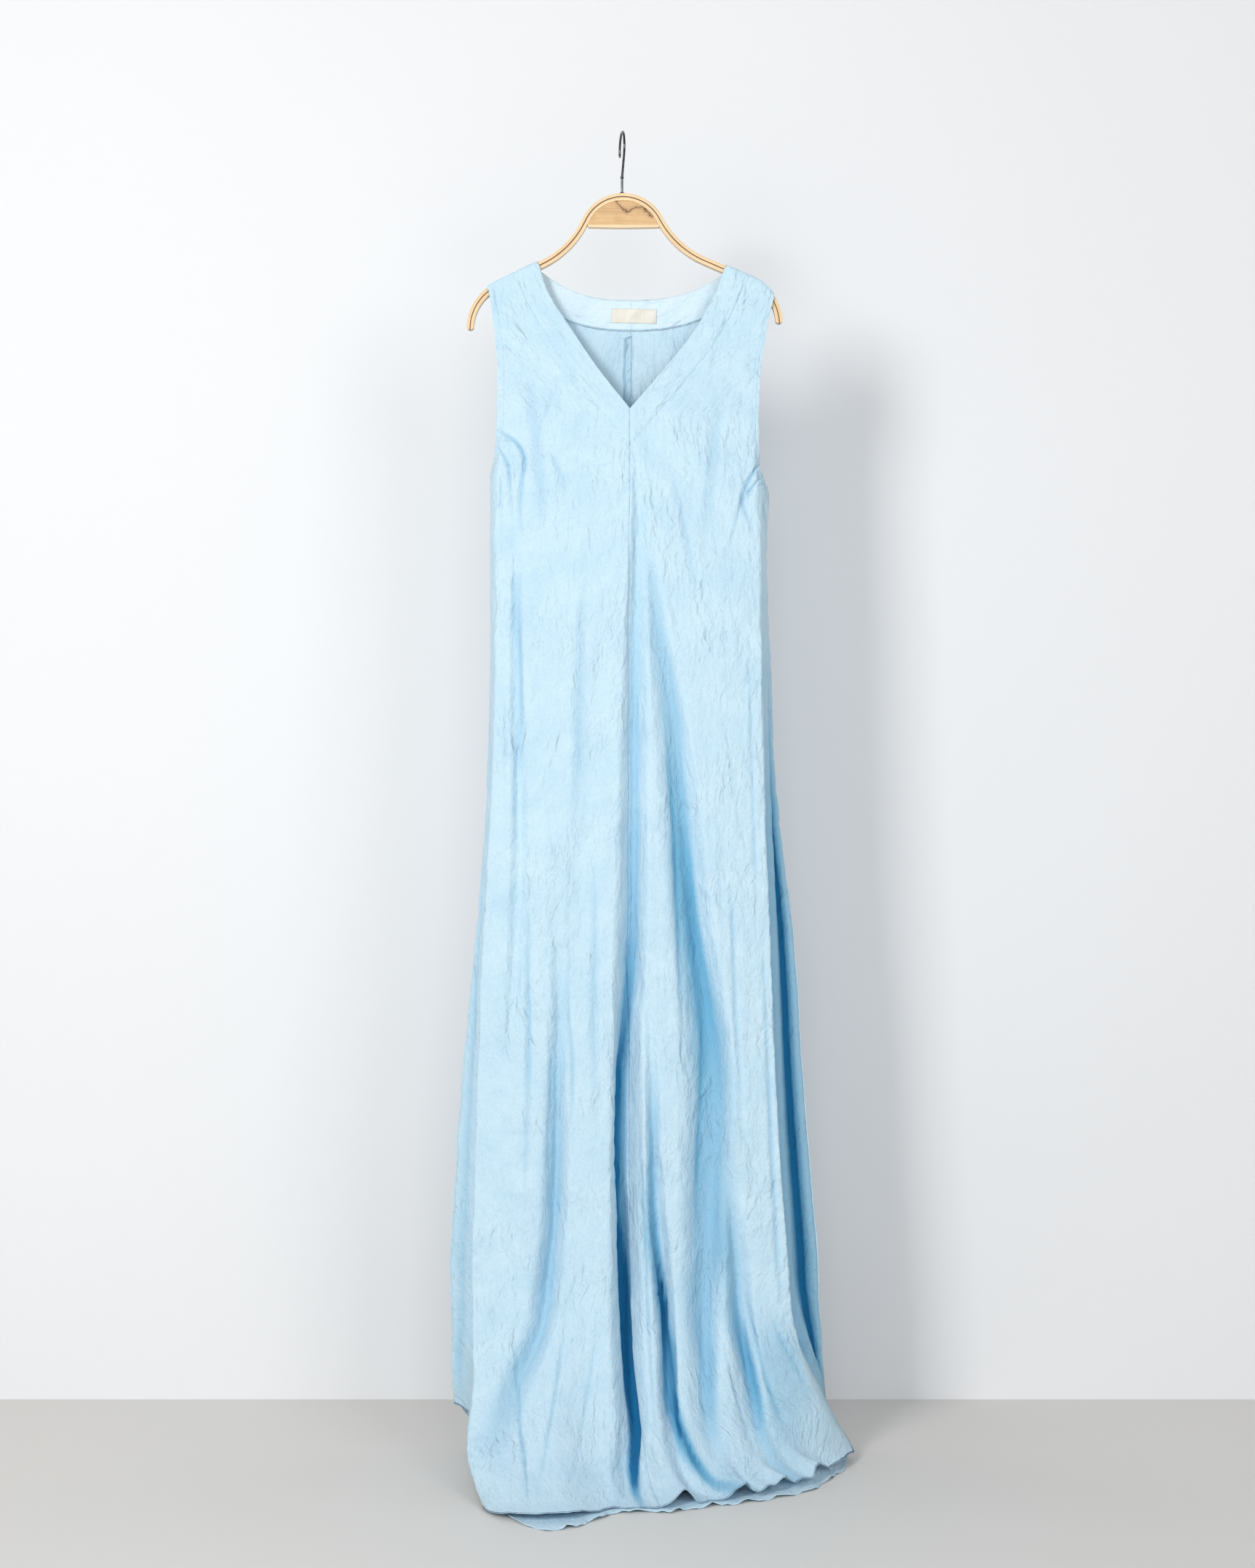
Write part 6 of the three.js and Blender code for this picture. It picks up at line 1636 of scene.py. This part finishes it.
for (name, back), panel in panels.items():
    edge = panel.points[-1]
    out = -panel.normals[-1]
    up = unit(panel.points[-4] - panel.points[-1])
    if back:
        line = zigzag(edge, out, up, pitch=2.0, width=2.6, radius=0.2, lift=0.5)
    else:
        line = zigzag(edge, out, up, pitch=1.9, width=1.9, radius=0.27, lift=0.45)
    sewn = object_from(panel.name + "_hem_overlock", *line)
    # on the front the dark hem thread is partly painted shadow along the hem's edge
    finish_piece(sewn, PALE_THREAD if back else DARK_THREAD_AND_HEM_SHADOW, "linen")
    ends = object_from(panel.name + "_hem_fray", *fray(edge, out, -up, BACK_ENDS if back else FRONT_ENDS,
                                                       seed=FRAY_SEED + len(name)))
    finish_piece(ends, PALE_THREAD if back else OUTER_LINEN, "linen")

# The hanger


def select_faces(piece, test):
    """Leaves only the faces of a piece in edit mode that pass the test selected."""
    work = bmesh.from_edit_mesh(piece.data)
    for face in work.faces:
        face.select_set(False)
    for face in work.faces:
        if test(face):
            face.select_set(True)
    work.select_flush_mode()
    bmesh.update_edit_mesh(piece.data)


def select_edges(piece, test):
    """Leaves only the edges of a piece in edit mode that pass the test selected."""
    work = bmesh.from_edit_mesh(piece.data)
    for edge in work.edges:
        edge.select_set(False)
    for vert in work.verts:
        vert.select_set(False)
    for edge in work.edges:
        if test(edge):
            edge.select_set(True)
    bmesh.update_edit_mesh(piece.data)


def soften(piece, width, sharpest):
    """Rounds a piece's edges that turn more than so many degrees, and smooths its faces."""
    apply_modifier(piece, "BEVEL", width=width * MM, segments=3, limit_method="ANGLE",
                   angle_limit=math.radians(sharpest))
    bpy.ops.object.shade_smooth_by_angle(angle=math.radians(35))


def bow_ply(name, high, low, material, slot, node, round_end):
    """One ply of the bow, from its end section at the apex: spun and pulled out along the arcs, mirrored,
    and turned to the bow's tilt. round_end is how far over the centre line the tip's rounded corner is,
    or 0 where no corner is rounded."""
    bpy.ops.object.select_all(action="DESELECT")
    middle = (APEX + (high + low) / 2) * MM
    bpy.ops.mesh.primitive_plane_add(size=1.0, location=(0, 0, middle), rotation=(0, math.pi / 2, 0))
    piece = bpy.context.object
    piece.name = name
    piece.dimensions = ((high - low) * MM, BOW_DEPTH * MM, 0)
    bpy.ops.object.transform_apply(location=True, rotation=True, scale=True)
    bpy.ops.object.mode_set(mode="EDIT")
    bpy.ops.mesh.select_all(action="SELECT")
    x, z, turned = 0.0, APEX, 0.0
    # each arc's radius, the angle it ends at and its steps, and the straight after it
    path = ((ARCH_RADIUS, FLANK_ANGLE, 18, FLANK_LENGTH), (-NECK_RADIUS, SHOULDER_ANGLE, 14, SHOULDER_LENGTH),
            (TIP_RADIUS, TIP_ANGLE, 16, TIP_LENGTH))
    for radius, to, steps, straight in path:
        centre = (x - radius * math.sin(turned), z - radius * math.cos(turned))
        bpy.ops.mesh.spin(steps=steps, angle=turned - to, dupli=False, use_auto_merge=False,
                          center=(centre[0] * MM, 0, centre[1] * MM), axis=(0, 1, 0))
        turned = to
        move = (straight * math.cos(turned), 0, -straight * math.sin(turned))
        bpy.ops.mesh.extrude_region_move(TRANSFORM_OT_translate={"value": [m * MM for m in move]})
        x = centre[0] + radius * math.sin(turned) + move[0]
        z = centre[1] + radius * math.cos(turned) + move[2]
    tip = Vector((x * MM, 0, z * MM))
    up, out = Vector((math.sin(turned), 0, math.cos(turned))), Vector((math.cos(turned), 0, -math.sin(turned)))

    def is_corner(edge):
        a, b = (v.co for v in edge.verts)
        lies_across = abs(a.x - b.x) < SAME_PLACE and abs(a.z - b.z) < SAME_PLACE
        at_tip = abs((a - tip).dot(out)) < NEAR_PLACE
        return lies_across and at_tip and abs((a - tip).dot(up) - round_end * MM) < NEAR_PLACE

    if round_end:
        select_edges(piece, is_corner)
        bpy.ops.mesh.bevel(offset=TIP_ROUND * MM, segments=6, affect="EDGES")
    select_faces(piece, lambda face: abs(face.calc_center_median().x) < SAME_PLACE)
    bpy.ops.mesh.delete(type="FACE")
    bpy.ops.mesh.select_all(action="SELECT")
    bpy.ops.mesh.remove_doubles(threshold=SAME_PLACE)
    bpy.ops.mesh.normals_make_consistent(inside=False)
    bpy.ops.object.mode_set(mode="OBJECT")
    apply_modifier(piece, "MIRROR", use_axis=(True, False, False), use_clip=True, merge_threshold=NEAR_PLACE)
    turn = Matrix.Translation((0, 0, APEX * MM)) @ Matrix.Rotation(-BOW_TILT, 4, "Y")
    piece.data.transform(turn @ Matrix.Translation((0, 0, -APEX * MM)))
    soften(piece, PLY_ROUND if round_end else CORE_ROUND, 40)
    lay_grain(piece)
    return finish_piece(piece, material, slot, node)


def lay_grain(piece):
    """Gives each point its place along the bow, front to back, and across it, for the grain."""
    line = bow_line(0.0, 40, 30, 40)
    far = np.concatenate([[0], np.cumsum(np.linalg.norm(np.diff(line, axis=0), axis=1))])
    places = []
    for vert in piece.data.vertices:
        x, y, z = (c / MM for c in vert.co)
        away = np.hypot(line[:, 0] - x, line[:, 1] - z)
        i = int(away.argmin())
        places.append((far[i] * MM, y * MM, away[i] * MM))
    layer = piece.data.attributes.new("grain", "FLOAT_VECTOR", "POINT")
    layer.data.foreach_set("vector", np.array(places).ravel())


bow_ply("bow_outer_ply", BOW_HALF, CORE_HALF + PLY_GAP, MAPLE, "light_wood", "hanger_outer_ply", BOW_HALF)
bow_ply("bow_core_ply", CORE_HALF, -CORE_HALF, WALNUT, "dark_wood", "hanger_core_ply", 0)
bow_ply("bow_inner_ply", -CORE_HALF - PLY_GAP, -BOW_HALF, MAPLE, "light_wood", "hanger_inner_ply", -BOW_HALF)


def infill_block():
    """The block under the arch, from a grid whose top follows the bow."""
    roof = bow_line(-BOW_HALF - ROOF_GAP, 24, 16, 4)
    roof = roof[roof[:, 1] > INFILL_BOTTOM]
    columns, rows = 48, 12
    bpy.ops.object.select_all(action="DESELECT")
    bpy.ops.mesh.primitive_grid_add(x_subdivisions=columns, y_subdivisions=rows, size=2.0)
    piece = bpy.context.object
    piece.name = "arch_infill"
    far = np.linspace(0, 1, len(roof))
    for vert in piece.data.vertices:
        s, t = (vert.co.x + 1) / 2, (vert.co.y + 1) / 2
        top = (np.interp(s, far, roof[:, 0]), np.interp(s, far, roof[:, 1]))
        bottom = (lerp(roof[0, 0] + 1.0, roof[-1, 0] - 1.0, s),
                  INFILL_BOTTOM - INFILL_SAG * math.sin(math.pi * s))
        x, z = lerp(bottom[0], top[0], t), lerp(bottom[1], top[1], t)
        vert.co = (x * MM, -(BOW_DEPTH / 2 - INFILL_INSET) * MM, z * MM)
    bpy.ops.object.mode_set(mode="EDIT")
    bpy.ops.mesh.select_all(action="SELECT")
    through = (BOW_DEPTH - 2 * INFILL_INSET) * MM
    bpy.ops.mesh.extrude_region_move(TRANSFORM_OT_translate={"value": (0, through, 0)})
    bpy.ops.mesh.select_all(action="SELECT")
    bpy.ops.mesh.normals_make_consistent(inside=False)
    bpy.ops.object.mode_set(mode="OBJECT")
    soften(piece, INFILL_ROUND, 50)
    return finish_piece(piece, FIGURED, "light_wood", "hanger_infill")


infill_block()


def hook_path():
    """The middle of the hook's wire, from the foot of its stem to its free tip."""
    middle = HOOK_RADIUS + WIRE_RADIUS

    def at(y, z):
        return np.array([-y * math.sin(HOOK_TURN), y * math.cos(HOOK_TURN), z])

    def arc(a):
        return at(middle * math.cos(a), -HOOK_RADIUS + middle * math.sin(a))

    bend, joint = at(0, STEM_TOP), arc(HOOK_START)
    near = lerp(bend, joint, 0.15)
    stem = [at(0, z) for z in np.linspace(STEM_BOTTOM, STEM_TOP - 5, 12)]
    turn = [(1 - t) ** 2 * stem[-1] + 2 * t * (1 - t) * bend + t * t * near for t in np.linspace(0.1, 1, 8)]
    leg = [lerp(near, joint, t) for t in np.linspace(0.1, 0.85, 6)]
    round_top = [arc(a) for a in np.linspace(HOOK_START, HOOK_END, 56)]
    return np.array([*stem, *turn, *leg, *round_top])


def hook_wire():
    """The hook's wire, with the ball on its stem."""
    bpy.ops.object.select_all(action="DESELECT")
    bpy.ops.curve.primitive_nurbs_path_add()
    piece = bpy.context.object
    piece.name = "hook_wire"
    path = hook_path()
    curve = piece.data
    curve.splines.clear()
    spline = curve.splines.new("POLY")
    spline.points.add(len(path) - 1)
    for point, place in zip(spline.points, path):
        point.co = (*(place * MM), 1)
    spline.points[0].radius = spline.points[-1].radius = TIP_SHARE
    curve.dimensions = "3D"
    curve.bevel_depth = WIRE_RADIUS * MM
    curve.bevel_resolution = 4
    curve.use_fill_caps = True
    bpy.ops.object.convert(target="MESH")
    bpy.ops.mesh.primitive_uv_sphere_add(segments=28, ring_count=16, radius=BALL_RADIUS * MM,
                                         location=(0, 0, STEM_TOP * MM))
    piece.select_set(True)
    bpy.context.view_layer.objects.active = piece
    bpy.ops.object.join()
    bpy.ops.object.transform_apply(location=True, rotation=True, scale=True)
    piece.data.polygons.foreach_set("use_smooth", [True] * len(piece.data.polygons))
    return finish_piece(piece, STEEL, "steel", "hanger_hook")


def stem_washer():
    """The washer on the bow, with a collar round the stem."""
    bpy.ops.object.select_all(action="DESELECT")
    middle = (APEX + BOW_HALF + SEAM_GAP) * MM + WASHER_THICKNESS / 2 * MM
    bpy.ops.mesh.primitive_cylinder_add(vertices=40, radius=WASHER_RADIUS * MM, depth=WASHER_THICKNESS * MM,
                                        location=(0, 0, middle))
    piece = bpy.context.object
    piece.name = "stem_washer"
    bpy.ops.object.transform_apply(location=True, rotation=True, scale=True)
    bpy.ops.object.mode_set(mode="EDIT")
    select_faces(piece, lambda face: face.normal.z > 0.9)
    bpy.ops.mesh.inset(thickness=COLLAR_INSET * MM)
    bpy.ops.mesh.extrude_region_move(TRANSFORM_OT_translate={"value": (0, 0, COLLAR_HEIGHT * MM)})
    bpy.ops.transform.resize(value=(COLLAR_TAPER, COLLAR_TAPER, 1))
    bpy.ops.object.mode_set(mode="OBJECT")
    soften(piece, WASHER_ROUND, 30)
    return finish_piece(piece, STEEL, "steel", "hook_washer")


hook_wire()
stem_washer()

# Floor, wall, light and camera


def stage_plane(name, corners, color, roughness, see_through_behind):
    """A plane of the room, a little uneven in tone, that can be clear when it is seen from behind."""
    piece = object_from(name, corners, [(0, 1, 2, 3)], smooth=False)
    material, nodes, shader = new_material(name + " paint", Roughness=roughness)
    shade = nodes.ramp(nodes.noise(on_object(nodes), 1.2), 0.2, 0.8)
    darker = tuple(c * 0.985 for c in color[:3]) + (1,)
    nodes.put(shader.inputs["Base Color"], nodes.mix(shade, darker, color))
    if see_through_behind:
        clear = nodes.add("ShaderNodeBsdfTransparent").outputs[0]
        behind = nodes.add("ShaderNodeNewGeometry").outputs["Backfacing"]
        both = nodes.add("ShaderNodeMixShader", {0: behind, 1: shader.outputs[0], 2: clear}).outputs[0]
        nodes.put(nodes.tree.nodes["Material Output"].inputs["Surface"], both)
    piece.data.materials.append(material)


HALF_ROOM, ROOM_FRONT, WALL_TOP = 4000, -5000, 2500
stage_plane("floor", [(-HALF_ROOM, ROOM_FRONT, FLOOR), (HALF_ROOM, ROOM_FRONT, FLOOR),
                      (HALF_ROOM, WALL_Y, FLOOR), (-HALF_ROOM, WALL_Y, FLOOR)],
            (0.74, 0.72, 0.69, 1), 0.6, False)
stage_plane("wall", [(-HALF_ROOM, WALL_Y, FLOOR), (HALF_ROOM, WALL_Y, FLOOR), (HALF_ROOM, WALL_Y, WALL_TOP),
                     (-HALF_ROOM, WALL_Y, WALL_TOP)],
            (0.86, 0.87, 0.885, 1), 0.8, True)


def soft_light(name, place, aim, size, power, color):
    light = bpy.data.lights.new(name, "AREA")
    light.shape = "RECTANGLE"
    light.size, light.size_y = size
    light.energy = power
    light.color = color
    piece = bpy.data.objects.new(name, light)
    bpy.context.scene.collection.objects.link(piece)
    piece.location = place
    piece.rotation_euler = (Vector(aim) - Vector(place)).to_track_quat("-Z", "Y").to_euler()


MIDDLE_OF_DRESS = (0, 0, -0.85)
soft_light("key", (-1.75, -2.9, 0.35), MIDDLE_OF_DRESS, size=(0.8, 1.3), power=62, color=(1.0, 0.99, 0.97))
soft_light("fill", (1.75, -2.8, 0.2), MIDDLE_OF_DRESS, size=(1.1, 1.6), power=20, color=(0.97, 0.985, 1.0))
soft_light("front", (0.2, -4.4, 0.0), MIDDLE_OF_DRESS, size=(1.6, 1.6), power=33, color=(1.0, 1.0, 1.0))
world = bpy.data.worlds.new("studio")
world.use_nodes = True
world.node_tree.nodes["Background"].inputs["Color"].default_value = (0.93, 0.96, 1.0, 1)
world.node_tree.nodes["Background"].inputs["Strength"].default_value = 0.33
bpy.context.scene.world = world
bpy.context.scene.view_settings.view_transform = "Standard"

camera = bpy.data.objects.new("camera", bpy.data.cameras.new("camera"))
bpy.context.scene.collection.objects.link(camera)
camera.data.sensor_fit = "AUTO"
camera.data.sensor_width = SENSOR
camera.data.lens = SENSOR * LENS_IN_PIXELS / PICTURE_HEIGHT
camera.location = [c * MM for c in CAMERA_PLACE]
camera.rotation_euler = (math.pi / 2, 0, 0)
bpy.context.scene.camera = camera
